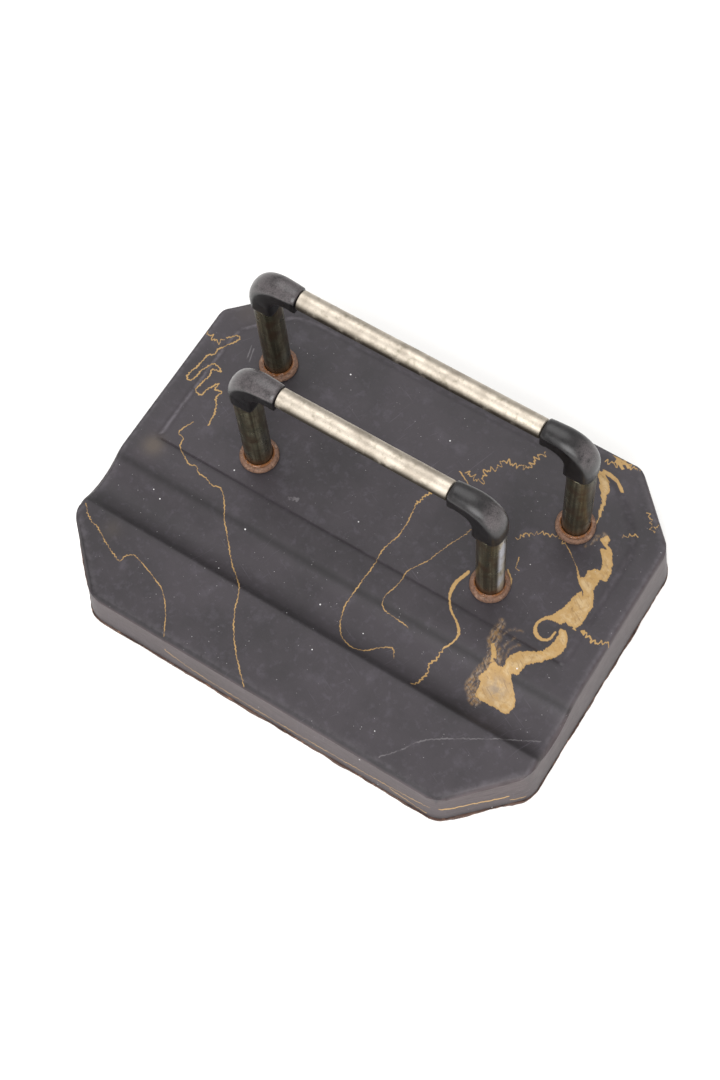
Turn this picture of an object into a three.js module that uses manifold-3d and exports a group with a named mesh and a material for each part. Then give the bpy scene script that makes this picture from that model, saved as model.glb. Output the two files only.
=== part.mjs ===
// Ink blotter: a moulded desk stand with a pen groove and two fixed letter rails.
// Millimetres, +Z up. X runs along the pen groove, -Y is the front. The origin is the middle of the
// footprint, on the surface that the stand rests on.

import * as THREE from "three";
import { ConvexGeometry } from "three/addons/geometries/ConvexGeometry.js";
import { mergeVertices } from "three/addons/utils/BufferGeometryUtils.js";
import Module from "manifold-3d";

const wasm = await Module();
wasm.setup();

// ---------------------------------------------------------------- driving dimensions

const LENGTH = 170; // base, along X, at its top edge
const WIDTH = 127; // base, along Y, at its top edge
const CLIP = 20.5; // 45 degree clip at each corner
const DRAFT = 2; // how far the foot of each side wall stands out past its top
const FIT = 0.3; // gap between pieces that touch

const BOARD_THICK = 1.5;
const BOARD_INSET = 0.4;

const FRONT_EDGE_Z = 17; // top of the base at its front edge
const RIDGE_Z = 20.2;
const PLATEAU_Z = 21.6;
const PANEL_RISE = 1;
const RIDGE_Y = -37.6;
const GROOVE_BACK_Y = -19;
const GROOVE_DEPTH = 3.3;
const LIP_SLOPE = THREE.MathUtils.degToRad(39);

const PANEL_FRONT_Y = -7.8;
const PANEL_BACK_Y = 54.5;
const PANEL_HALF_LENGTH = 76.3;
const PANEL_CLIP = 15.2;
const PANEL_SOFT_EDGE = 1.8;

const WALL = 4.2;
const FRONT_CEILING_Z = 12.4; // underside of the skin below the groove and the front slope
const REAR_CEILING_Z = 17.4; // underside of the skin below the plateau
const REAR_CAVITY_Y = -11;
const BOSS_RADIUS = 8;
const BOSS_FOOT_Z = 7.2;
const RIB_THICK = 2.4;

const RAIL_AXIS_Z = 77.2;
const FRONT_ROW = { y: 3.4, halfSpan: 43.4 };
const REAR_ROW = { y: 34.4, halfSpan: 56.3 };

const POST_RADIUS = 4.6;
const POST_WALL = 0.9;
const RAIL_RADIUS = 3.3;
const RAIL_WALL = 0.8;

const COLLAR_RADIUS = 6.5;
const COLLAR_THICK = 1.7;

const ELBOW_LENGTH = 9.2; // over the post, along X
const ELBOW_WIDTH = 8.8; // over the post, along Y
const ELBOW_DROP = 12.5; // from the rail's axis down to the elbow's foot
const ELBOW_RISE = 3.6; // from the rail's axis up to the elbow's top
const ELBOW_REACH = 13.4; // from the post's axis to the arm's end
const ELBOW_CORNER = 12;
const ARM_HALF = 3.5;
const INNER_BEND = 4;
const ELBOW_EDGE = 1.6;
const SPIGOT_LENGTH = 4;

const STUD_RADIUS = 1.8;
const STUD_HOLE_RADIUS = 2.2; // plain holes that a stud passes through
const BUSH_RADIUS = 3;
const BUSH_LENGTH = 5.5;
const BUSH_DROP = 4.8; // from the rail's axis down to the bush's top
const WASHER_RADIUS = 4.5;
const WASHER_THICK = 0.8;
const NUT_RADIUS = 4.04; // across corners, for 7 mm across flats
const NUT_THICK = 3;

const ROUND = 40; // sides of a round piece
const SMALL_ROUND = 20; // sides of a small hidden round piece

// ---------------------------------------------------------------- finishes

/** A plain finish from its colour, roughness and metalness. */
function finish(color, roughness, metalness) {
  return new THREE.MeshStandardMaterial({ color, roughness, metalness });
}

const marbledRubber = finish(0x59555a, 0.75, 0);
const fibreBoard = finish(0x5a3d30, 0.9, 0);
const rustySteel = finish(0x8a5030, 0.7, 0.3);
const tarnishedNickel = finish(0x4a4736, 0.35, 0.9);
const satinMetal = finish(0xcfc6b8, 0.4, 0.9);
const blackPhenolic = finish(0x29282a, 0.35, 0);
const brass = finish(0xb08d4a, 0.35, 1);
const plainSteel = finish(0x8c8c8c, 0.45, 0.9);

// ---------------------------------------------------------------- solids and geometry

/** Turns a closed three.js geometry into a manifold solid. */
function solid(geometry) {
  const bare = geometry.clone();
  bare.deleteAttribute("normal");
  bare.deleteAttribute("uv");
  const merged = mergeVertices(bare, 1e-4);
  const vertProperties = new Float32Array(merged.attributes.position.array);
  const triVerts = new Uint32Array(merged.index.array);
  return new wasm.Manifold(new wasm.Mesh({ numProp: 3, vertProperties, triVerts }));
}

/** Turns a manifold solid back into a three.js geometry. */
function geometryOf(body) {
  const mesh = body.getMesh();
  const geometry = new THREE.BufferGeometry();
  geometry.setAttribute("position", new THREE.BufferAttribute(new Float32Array(mesh.vertProperties), 3));
  geometry.setIndex(new THREE.BufferAttribute(new Uint32Array(mesh.triVerts), 1));
  geometry.computeVertexNormals();
  return geometry;
}

/** Cuts every tool from the body. */
const cut = (body, tools) => tools.reduce((left, tool) => left.subtract(tool), body);

/** A closed outline through the given [a, b] points. */
const outline = (points) => new THREE.Shape(points.map(([a, b]) => new THREE.Vector2(a, b)));

/** A flat outline in X and Y, raised between two heights. */
function prism(shape, lowZ, highZ) {
  const geometry = new THREE.ExtrudeGeometry(shape, { depth: highZ - lowZ, bevelEnabled: false });
  return geometry.translate(0, 0, lowZ);
}

/** A round bar along Z at (x, y), between two heights. */
function bar(radius, x, y, lowZ, highZ, sides = ROUND) {
  const geometry = new THREE.CylinderGeometry(radius, radius, highZ - lowZ, sides);
  return geometry.rotateX(Math.PI / 2).translate(x, y, (lowZ + highZ) / 2);
}

/** A round tube along Z, centred on the origin's axis, with a small chamfer at its outer ends. */
function tube(outer, inner, lowZ, highZ, chamfer, sides = ROUND) {
  const profile = [
    [inner, lowZ],
    [outer - chamfer, lowZ],
    [outer, lowZ + chamfer],
    [outer, highZ - chamfer],
    [outer - chamfer, highZ],
    [inner, highZ],
    [inner, lowZ],
  ].map(([r, z]) => new THREE.Vector2(r, z));
  return new THREE.LatheGeometry(profile, sides).rotateX(Math.PI / 2);
}

/** Points along an arc, from one angle to another, in degrees. */
function arc(centreA, centreB, radius, fromDeg, toDeg, steps) {
  return Array.from({ length: steps + 1 }, (_, i) => {
    const angle = THREE.MathUtils.degToRad(fromDeg + ((toDeg - fromDeg) * i) / steps);
    return [centreA + radius * Math.cos(angle), centreB + radius * Math.sin(angle)];
  });
}

/** Corners of a rectangle with all four corners clipped at 45 degrees. */
function clippedCorners(halfLength, halfWidth, clip) {
  const corners = [
    [halfLength, halfWidth - clip],
    [halfLength - clip, halfWidth],
  ];
  const left = corners.map(([x, y]) => [-x, y]).reverse();
  const rear = [...corners, ...left];
  return [...rear, ...rear.map(([x, y]) => [x, -y]).reverse()];
}

/** The base's outline, moved outwards by the given distance. */
function baseCorners(offset) {
  const clip = CLIP + offset * (2 - Math.SQRT2);
  return clippedCorners(LENGTH / 2 + offset, WIDTH / 2 + offset, clip);
}

// ---------------------------------------------------------------- base

const BODY_FOOT_Z = BOARD_THICK + FIT;
const PANEL_Z = PLATEAU_Z + PANEL_RISE;

/** The side view of the base's top: front slope, ridge, pen groove, lip and plateau, as [y, z]. */
function topProfile() {
  const halfGroove = (GROOVE_BACK_Y - RIDGE_Y) / 2;
  const grooveRadius = (halfGroove ** 2 + GROOVE_DEPTH ** 2) / (2 * GROOVE_DEPTH);
  const halfAngle = THREE.MathUtils.radToDeg(Math.asin(halfGroove / grooveRadius));
  const grooveCentreZ = RIDGE_Z - GROOVE_DEPTH + grooveRadius;
  const lipRadius = (PLATEAU_Z - RIDGE_Z) / (1 - Math.cos(LIP_SLOPE));
  const lipEndY = GROOVE_BACK_Y + lipRadius * Math.sin(LIP_SLOPE);
  const lipTurn = THREE.MathUtils.radToDeg(LIP_SLOPE);
  return [
    [-WIDTH, FRONT_EDGE_Z - ((RIDGE_Z - FRONT_EDGE_Z) * (WIDTH / 2)) / (WIDTH / 2 + RIDGE_Y)],
    ...arc((RIDGE_Y + GROOVE_BACK_Y) / 2, grooveCentreZ, grooveRadius, -90 - halfAngle, -90 + halfAngle, 16),
    ...arc(lipEndY, PLATEAU_Z - lipRadius, lipRadius, 90 + lipTurn, 90, 5).slice(1),
    [WIDTH, PLATEAU_Z],
  ];
}

/** Everything under the top surface, much longer and wider than the base. */
function underTop() {
  const shape = outline([[WIDTH, -1], [-WIDTH, -1], ...topProfile()]);
  const geometry = new THREE.ExtrudeGeometry(shape, { depth: 2 * LENGTH, bevelEnabled: false });
  return geometry.rotateX(Math.PI / 2).rotateZ(Math.PI / 2).translate(-LENGTH, 0, 0);
}

/** The block inside the drafted side walls. */
function draftedBlock() {
  const foot = baseCorners(DRAFT).map(([x, y]) => new THREE.Vector3(x, y, BODY_FOOT_Z));
  const top = baseCorners(0).map(([x, y]) => new THREE.Vector3(x, y, PLATEAU_Z));
  return new ConvexGeometry([...foot, ...top]);
}

/** The low raised panel, with soft edges at its ends and back and a clean step at its front. */
function raisedPanel() {
  const half = PANEL_HALF_LENGTH;
  const shape = outline([
    [-half, PANEL_FRONT_Y - 4],
    [half, PANEL_FRONT_Y - 4],
    [half, PANEL_BACK_Y - PANEL_CLIP],
    [half - PANEL_CLIP, PANEL_BACK_Y],
    [-half + PANEL_CLIP, PANEL_BACK_Y],
    [-half, PANEL_BACK_Y - PANEL_CLIP],
  ]);
  const block = new THREE.ExtrudeGeometry(shape, {
    depth: 1,
    bevelThickness: PANEL_RISE,
    bevelSize: PANEL_SOFT_EDGE,
    bevelOffset: -PANEL_SOFT_EDGE,
    bevelSegments: 3,
  }).translate(0, 0, PLATEAU_Z - 1);
  const behindStep = new THREE.BoxGeometry(LENGTH, WIDTH, 10);
  behindStep.translate(0, PANEL_FRONT_Y + WIDTH / 2, PLATEAU_Z);
  return solid(block).intersect(solid(behindStep));
}

/** The hollow under the base, lower at the front than under the plateau. */
function underHollow() {
  const inside = baseCorners(-WALL);
  const front = prism(outline(inside), 0, FRONT_CEILING_Z);
  const rear = prism(outline(inside), 0, REAR_CEILING_Z);
  const rearHalf = new THREE.BoxGeometry(LENGTH, WIDTH, 2 * REAR_CEILING_Z);
  rearHalf.translate(0, REAR_CAVITY_Y + WIDTH / 2, 0);
  return solid(front).add(solid(rear).intersect(solid(rearHalf)));
}

/** The bosses under the posts, with a rib along each pair. */
function bossesAndRibs() {
  const parts = [FRONT_ROW, REAR_ROW].flatMap(({ y, halfSpan }) => {
    const bosses = [-halfSpan, halfSpan].map((x) => bar(BOSS_RADIUS, x, y, BOSS_FOOT_Z, REAR_CEILING_Z + 1));
    const rib = new THREE.BoxGeometry(2 * halfSpan, RIB_THICK, REAR_CEILING_Z + 1 - BOSS_FOOT_Z);
    rib.translate(0, y, (REAR_CEILING_Z + 1 + BOSS_FOOT_Z) / 2);
    return [...bosses, rib];
  });
  return parts.map(solid).reduce((all, part) => all.add(part));
}

/** The whole moulding: drafted block under the shaped top, raised panel, hollow, bosses and stud holes. */
function baseBody() {
  const holes = POSTS.map(({ x, y }) => solid(bar(STUD_HOLE_RADIUS, x, y, 0, PANEL_Z + 1, SMALL_ROUND)));
  const shell = solid(draftedBlock()).intersect(solid(underTop())).add(raisedPanel());
  return geometryOf(cut(shell.subtract(underHollow()).add(bossesAndRibs()), holes));
}

/** The thin board that closes the hollow and carries the stand. */
function bottomBoard() {
  return prism(outline(baseCorners(DRAFT - BOARD_INSET)), 0, BOARD_THICK);
}

// ---------------------------------------------------------------- posts, collars, rails

const POST_FOOT_Z = PANEL_Z + FIT;
const POST_TOP_Z = RAIL_AXIS_Z - ELBOW_DROP - FIT;

/** The round tube that stands on the panel and carries an elbow. */
const post = () => tube(POST_RADIUS, POST_RADIUS - POST_WALL, POST_FOOT_Z, POST_TOP_Z, 0.25);

/** A low ring round the post's foot, rounded on its outer edge. */
function collar() {
  const inner = POST_RADIUS + FIT;
  const foot = PANEL_Z + FIT;
  const profile = [
    [inner, foot],
    [COLLAR_RADIUS, foot],
    ...arc(COLLAR_RADIUS - 0.9, foot + COLLAR_THICK - 0.9, 0.9, 0, 90, 4),
    [inner, foot + COLLAR_THICK],
    [inner, foot],
  ].map(([r, z]) => new THREE.Vector2(r, z));
  return new THREE.LatheGeometry(profile, ROUND).rotateX(Math.PI / 2);
}

/** A rail between the two elbows of a row, along X. */
function rail(halfSpan) {
  const half = halfSpan - ELBOW_REACH - FIT;
  const inner = RAIL_RADIUS - RAIL_WALL;
  return tube(RAIL_RADIUS, inner, -half, half, 0.2, 32).rotateY(Math.PI / 2);
}

// ---------------------------------------------------------------- elbows
// An elbow is made round the point where the post's axis meets the rail's, with its arm along +X.

/** The elbow's side view: one big outer curve, a post socket and an arm with a rounded inner bend. */
function elbowSide() {
  const half = ELBOW_LENGTH / 2;
  const footZ = -ELBOW_DROP - 2 * ELBOW_EDGE;
  const armEnd = ELBOW_REACH + 2 * ELBOW_EDGE;
  const points = [
    [half, footZ],
    ...arc(half + INNER_BEND, -ARM_HALF - INNER_BEND, INNER_BEND, 180, 90, 6),
    [armEnd, -ARM_HALF],
    [armEnd, ELBOW_RISE],
    ...arc(ELBOW_CORNER - half, ELBOW_RISE - ELBOW_CORNER, ELBOW_CORNER, 90, 180, 10),
    [-half, footZ],
  ];
  const geometry = new THREE.ExtrudeGeometry(outline(points), {
    depth: ELBOW_WIDTH - 2 * ELBOW_EDGE,
    bevelThickness: ELBOW_EDGE,
    bevelSize: ELBOW_EDGE,
    bevelOffset: -ELBOW_EDGE,
    bevelSegments: 3,
  });
  return geometry.rotateX(Math.PI / 2).translate(0, ELBOW_WIDTH / 2 - ELBOW_EDGE, 0);
}

/** The elbow's plan, which trims its foot and its arm's end flat and narrows the arm. */
function elbowPlan() {
  const half = ELBOW_WIDTH / 2;
  const shape = outline([
    [-ELBOW_LENGTH, -half],
    [ELBOW_LENGTH / 2, -half],
    [ELBOW_REACH, -ARM_HALF],
    [ELBOW_REACH, ARM_HALF],
    [ELBOW_LENGTH / 2, half],
    [-ELBOW_LENGTH, half],
  ]);
  return prism(shape, -ELBOW_DROP, ELBOW_DROP);
}

/** The elbow with a spigot for the post's bore, one for the rail's bore, and holes for stud and bush. */
function elbow() {
  const shaped = solid(elbowSide()).intersect(solid(elbowPlan()));
  const spigotFoot = -ELBOW_DROP - SPIGOT_LENGTH;
  const bushTop = FIT - BUSH_DROP;
  const postSpigot = bar(POST_RADIUS - POST_WALL - FIT, 0, 0, spigotFoot, 1 - ELBOW_DROP, 28);
  const railSpigotEnd = ELBOW_REACH + SPIGOT_LENGTH;
  const railSpigot = bar(RAIL_RADIUS - RAIL_WALL - FIT, 0, 0, ELBOW_REACH - 1, railSpigotEnd, 24);
  railSpigot.rotateY(Math.PI / 2);
  const studHole = bar(STUD_HOLE_RADIUS, 0, 0, spigotFoot - 1, bushTop, SMALL_ROUND);
  const bushHole = bar(BUSH_RADIUS + FIT, 0, 0, bushTop - BUSH_LENGTH - 2 * FIT, bushTop, 24);
  const whole = shaped.add(solid(postSpigot)).add(solid(railSpigot));
  return geometryOf(cut(whole, [solid(studHole), solid(bushHole)]));
}

// ---------------------------------------------------------------- hidden fasteners

const BUSH_TOP_Z = RAIL_AXIS_Z - BUSH_DROP;
const WASHER_TOP_Z = BOSS_FOOT_Z - FIT;
const NUT_TOP_Z = WASHER_TOP_Z - WASHER_THICK - FIT;
const STUD_FOOT_Z = NUT_TOP_Z - NUT_THICK - 0.6;

/** The threaded bush that is moulded into each elbow. */
const bush = () => tube(BUSH_RADIUS, STUD_RADIUS + FIT, BUSH_TOP_Z - BUSH_LENGTH, BUSH_TOP_Z, 0.3, 24);

/** The rod from the bush down through the post and the base, with its ends eased. */
const stud = () => {
  const top = BUSH_TOP_Z - 0.6;
  const profile = [
    [0, STUD_FOOT_Z],
    [STUD_RADIUS - 0.4, STUD_FOOT_Z],
    [STUD_RADIUS, STUD_FOOT_Z + 0.4],
    [STUD_RADIUS, top - 0.4],
    [STUD_RADIUS - 0.4, top],
    [0, top],
  ].map(([r, z]) => new THREE.Vector2(r, z));
  return new THREE.LatheGeometry(profile, SMALL_ROUND).rotateX(Math.PI / 2);
};

/** The plain washer under the base. */
const washer = () => {
  return tube(WASHER_RADIUS, STUD_HOLE_RADIUS, WASHER_TOP_Z - WASHER_THICK, WASHER_TOP_Z, 0.1, 28);
};

/** The hexagon nut on the stud's foot. */
const nut = () => {
  const block = bar(NUT_RADIUS, 0, 0, NUT_TOP_Z - NUT_THICK, NUT_TOP_Z, 6);
  const hole = bar(STUD_RADIUS + FIT, 0, 0, NUT_TOP_Z - NUT_THICK - 1, NUT_TOP_Z + 1, SMALL_ROUND);
  return geometryOf(solid(block).subtract(solid(hole)));
};

// ---------------------------------------------------------------- assembly

const ROWS = { front: FRONT_ROW, rear: REAR_ROW };
const POSTS = Object.entries(ROWS).flatMap(([row, { y, halfSpan }]) => [
  { place: `${row}_left`, x: -halfSpan, y, turn: 0 },
  { place: `${row}_right`, x: halfSpan, y, turn: Math.PI },
]);

const stand = new THREE.Group();

/** Adds a named mesh to a group. */
function add(group, name, geometry, material) {
  const mesh = new THREE.Mesh(geometry, material);
  mesh.name = name;
  group.add(mesh);
  return mesh;
}

add(stand, "base_body", baseBody(), marbledRubber);
add(stand, "bottom_board", bottomBoard(), fibreBoard);

for (const { place, x, y, turn } of POSTS) {
  const column = new THREE.Group();
  column.position.set(x, y, 0);
  stand.add(column);
  add(column, `collar_${place}`, collar(), rustySteel);
  add(column, `post_${place}`, post(), tarnishedNickel);
  add(column, `bush_${place}`, bush(), brass);
  add(column, `stud_${place}`, stud(), plainSteel);
  add(column, `washer_${place}`, washer(), plainSteel);
  add(column, `nut_${place}`, nut(), plainSteel);
  const corner = add(column, `elbow_${place}`, elbow(), blackPhenolic);
  corner.position.z = RAIL_AXIS_Z;
  corner.rotation.z = turn;
}

for (const [row, { y, halfSpan }] of Object.entries(ROWS)) {
  const crossbar = add(stand, `rail_${row}`, rail(halfSpan), satinMetal);
  crossbar.position.set(0, y, RAIL_AXIS_Z);
}

export default stand;
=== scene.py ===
"""Looks of the ink blotter: a marbled hard-rubber desk stand with a pen groove and two letter rails.

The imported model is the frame. Each sub-assembly is a class that builds its own meshes in
millimetres, in the frame's own axes, dresses them in a procedural finish and hands them to the
root body. Every piece stands for the CAD node of the same place.
"""

import logging
import math
from dataclasses import dataclass, field
from enum import Enum

import bmesh
import bpy
import numpy as np
from mathutils import Matrix, Vector, noise


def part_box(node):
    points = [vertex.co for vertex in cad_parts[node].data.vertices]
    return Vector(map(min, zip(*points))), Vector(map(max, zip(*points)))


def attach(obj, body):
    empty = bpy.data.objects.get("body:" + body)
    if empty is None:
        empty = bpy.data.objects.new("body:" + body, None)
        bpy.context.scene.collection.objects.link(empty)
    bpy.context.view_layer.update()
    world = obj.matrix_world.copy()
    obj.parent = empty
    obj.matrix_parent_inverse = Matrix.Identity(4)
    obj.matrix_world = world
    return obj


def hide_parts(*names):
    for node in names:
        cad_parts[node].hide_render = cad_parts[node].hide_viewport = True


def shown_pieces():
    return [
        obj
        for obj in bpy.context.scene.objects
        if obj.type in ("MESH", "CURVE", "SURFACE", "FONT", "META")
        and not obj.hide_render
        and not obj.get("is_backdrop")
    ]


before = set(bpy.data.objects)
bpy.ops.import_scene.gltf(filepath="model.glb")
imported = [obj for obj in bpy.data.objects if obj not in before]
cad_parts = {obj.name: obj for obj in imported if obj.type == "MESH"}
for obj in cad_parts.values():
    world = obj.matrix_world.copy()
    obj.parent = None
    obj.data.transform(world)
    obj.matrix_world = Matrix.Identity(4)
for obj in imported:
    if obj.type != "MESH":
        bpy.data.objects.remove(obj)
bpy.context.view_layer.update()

Socket = bpy.types.NodeSocket
Shape = bmesh.types.BMesh
Piece = bpy.types.Object

LOG = logging.getLogger("ink_blotter")
MM = 0.001
PLACES = ("front_left", "front_right", "rear_left", "rear_right")


# ---------------------------------------------------------------- helpers


def linear(colour: int) -> tuple[float, float, float, float]:
    """Turns an sRGB hex colour into a linear one.

    Args:
        colour: The colour as 0xRRGGBB.

    Returns:
        Linear red, green and blue, with an alpha of 1.
    """
    parts = [((colour >> shift) & 255) / 255 for shift in (16, 8, 0)]
    lit = [c / 12.92 if c <= 0.04045 else ((c + 0.055) / 1.055) ** 2.4 for c in parts]
    return (lit[0], lit[1], lit[2], 1.0)


def box_mm(node: str) -> tuple[Vector, Vector]:
    """The lowest and highest corner of a CAD node.

    Args:
        node: The node's name.

    Returns:
        Both corners, in millimetres.
    """
    low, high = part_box(node)
    return Vector(low) / MM, Vector(high) / MM


class Surface:
    """A material under construction: its nodes, its shader and its place in millimetres."""

    def __init__(self, name: str, metallic: float, roughness: float) -> None:
        """Starts a material with a Principled shader.

        Args:
            name: The material's name.
            metallic: 1 for plain metal, 0 for anything else.
            roughness: The roughness where no node says otherwise.
        """
        self.material = bpy.data.materials.new(name)
        self.material.use_nodes = True
        self.tree = self.material.node_tree
        self.shader = next(n for n in self.tree.nodes if n.type == "BSDF_PRINCIPLED")
        self.shader.inputs["Metallic"].default_value = metallic
        self.shader.inputs["Roughness"].default_value = roughness
        place = self.add("ShaderNodeTexCoord").outputs["Object"]
        grow = {"Scale": (1 / MM, 1 / MM, 1 / MM)}
        self.mm = self.add("ShaderNodeMapping", grow, {"Vector": place}).outputs[0]

    def add(self, kind: str, settings: dict | None = None, links: dict | None = None) -> bpy.types.Node:
        """Adds a node.

        Args:
            kind: The node's class name.
            settings: Values by property name, input name or input number.
            links: Output sockets by the input, name or number, that each one feeds.

        Returns:
            The new node.
        """
        made = self.tree.nodes.new(kind)
        for key, value in (settings or {}).items():
            if isinstance(key, str) and hasattr(made, key):
                setattr(made, key, value)
            else:
                made.inputs[key].default_value = value
        for key, socket in (links or {}).items():
            self.tree.links.new(socket, made.inputs[key])
        return made

    def wear(self, size_mm: float, detail: float = 4.0, stretch: tuple = (1, 1, 1)) -> Socket:
        """A cloudy pattern from 0 to 1.

        Args:
            size_mm: How far apart its clouds are, in millimetres.
            detail: How many finer octaves it has.
            stretch: How much longer the clouds are along X, Y and Z.

        Returns:
            The pattern's value.
        """
        squeeze = {"Scale": tuple(1 / (size_mm * s) for s in stretch)}
        place = self.add("ShaderNodeMapping", squeeze, {"Vector": self.mm}).outputs[0]
        look = {"Scale": 1.0, "Detail": detail, "Roughness": 0.6}
        return self.add("ShaderNodeTexNoise", look, {"Vector": place}).outputs["Fac"]

    def step(self, value: Socket, low: float, high: float, top: float = 1.0) -> Socket:
        """A smooth step from 0 at low to top at high, or falling where low is above high.

        Args:
            value: What is stepped.
            low: Where the step starts.
            high: Where it ends.
            top: What it ends at.

        Returns:
            The stepped value.
        """
        if low > high:
            ends = {"From Min": high, "From Max": low, "To Min": top, "To Max": 0.0}
        else:
            ends = {"From Min": low, "From Max": high, "To Min": 0.0, "To Max": top}
        ends["interpolation_type"] = "SMOOTHSTEP"
        return self.add("ShaderNodeMapRange", ends, {"Value": value}).outputs["Result"]

    def sums(self, work: str, a: Socket, b: Socket | float) -> Socket:
        """Does one sum on two values.

        Args:
            work: The Math node's operation.
            a: The first value.
            b: The second value, a socket or a number.

        Returns:
            The result.
        """
        if isinstance(b, (int, float)):
            return self.add("ShaderNodeMath", {"operation": work, 1: b}, {0: a}).outputs[0]
        return self.add("ShaderNodeMath", {"operation": work}, {0: a, 1: b}).outputs[0]

    def tint(self, base: Socket | int, over: Socket | int, how_much: Socket) -> Socket:
        """Lays one colour over another.

        Args:
            base: The colour underneath, a socket or a hex number.
            over: The colour on top, a socket or a hex number.
            how_much: The socket that says how much of it shows.

        Returns:
            The mixed colour.
        """
        settings = {"data_type": "RGBA"}
        links = {0: how_much}
        for number, colour in ((6, base), (7, over)):
            if isinstance(colour, int):
                settings[number] = linear(colour)
            else:
                links[number] = colour
        return self.add("ShaderNodeMix", settings, links).outputs[2]

    def times(self, a: Socket, b: Socket | float) -> Socket:
        """Multiplies two values."""
        return self.sums("MULTIPLY", a, b)

    def plus(self, a: Socket, b: Socket | float) -> Socket:
        """Adds two values."""
        return self.sums("ADD", a, b)

    def less(self, a: Socket, b: Socket | float) -> Socket:
        """Takes the second value away from the first."""
        return self.sums("SUBTRACT", a, b)

    def patches(
        self,
        size_mm: float,
        low: float,
        high: float,
        show: float = 1.0,
        detail: float = 4.0,
        stretch: tuple = (1, 1, 1),
    ) -> Socket:
        """Cloudy patches, which start where the cloudy pattern passes low and are full at high.

        Args:
            size_mm: How far apart they are, in millimetres.
            low: Where they start.
            high: Where they are full.
            show: How strongly they show.
            detail: How many finer octaves they have.
            stretch: How much longer they are along X, Y and Z.

        Returns:
            How much of the patches shows.
        """
        return self.step(self.wear(size_mm, detail, stretch), low, high, show)

    def value(self, attribute: str) -> Socket:
        """Reads a named value that the piece's mesh holds at its points."""
        return self.add("ShaderNodeAttribute", {"attribute_name": attribute}).outputs["Fac"]

    def finish(
        self, colour: Socket, roughness: Socket | None, height: Socket, depth_mm: float
    ) -> bpy.types.Material:
        """Feeds the shader.

        Args:
            colour: The socket of the base colour.
            roughness: The socket of the roughness, if it varies.
            height: The socket of the bump's height, from 0 to 1.
            depth_mm: How deep the bump is, in millimetres.

        Returns:
            The finished material.
        """
        self.tree.links.new(colour, self.shader.inputs["Base Color"])
        if roughness is not None:
            self.tree.links.new(roughness, self.shader.inputs["Roughness"])
        relief = self.add("ShaderNodeBump", {"Strength": 1.0, "Distance": depth_mm * MM}, {"Height": height})
        self.tree.links.new(relief.outputs["Normal"], self.shader.inputs["Normal"])
        return self.material


# ---------------------------------------------------------------- finishes


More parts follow.
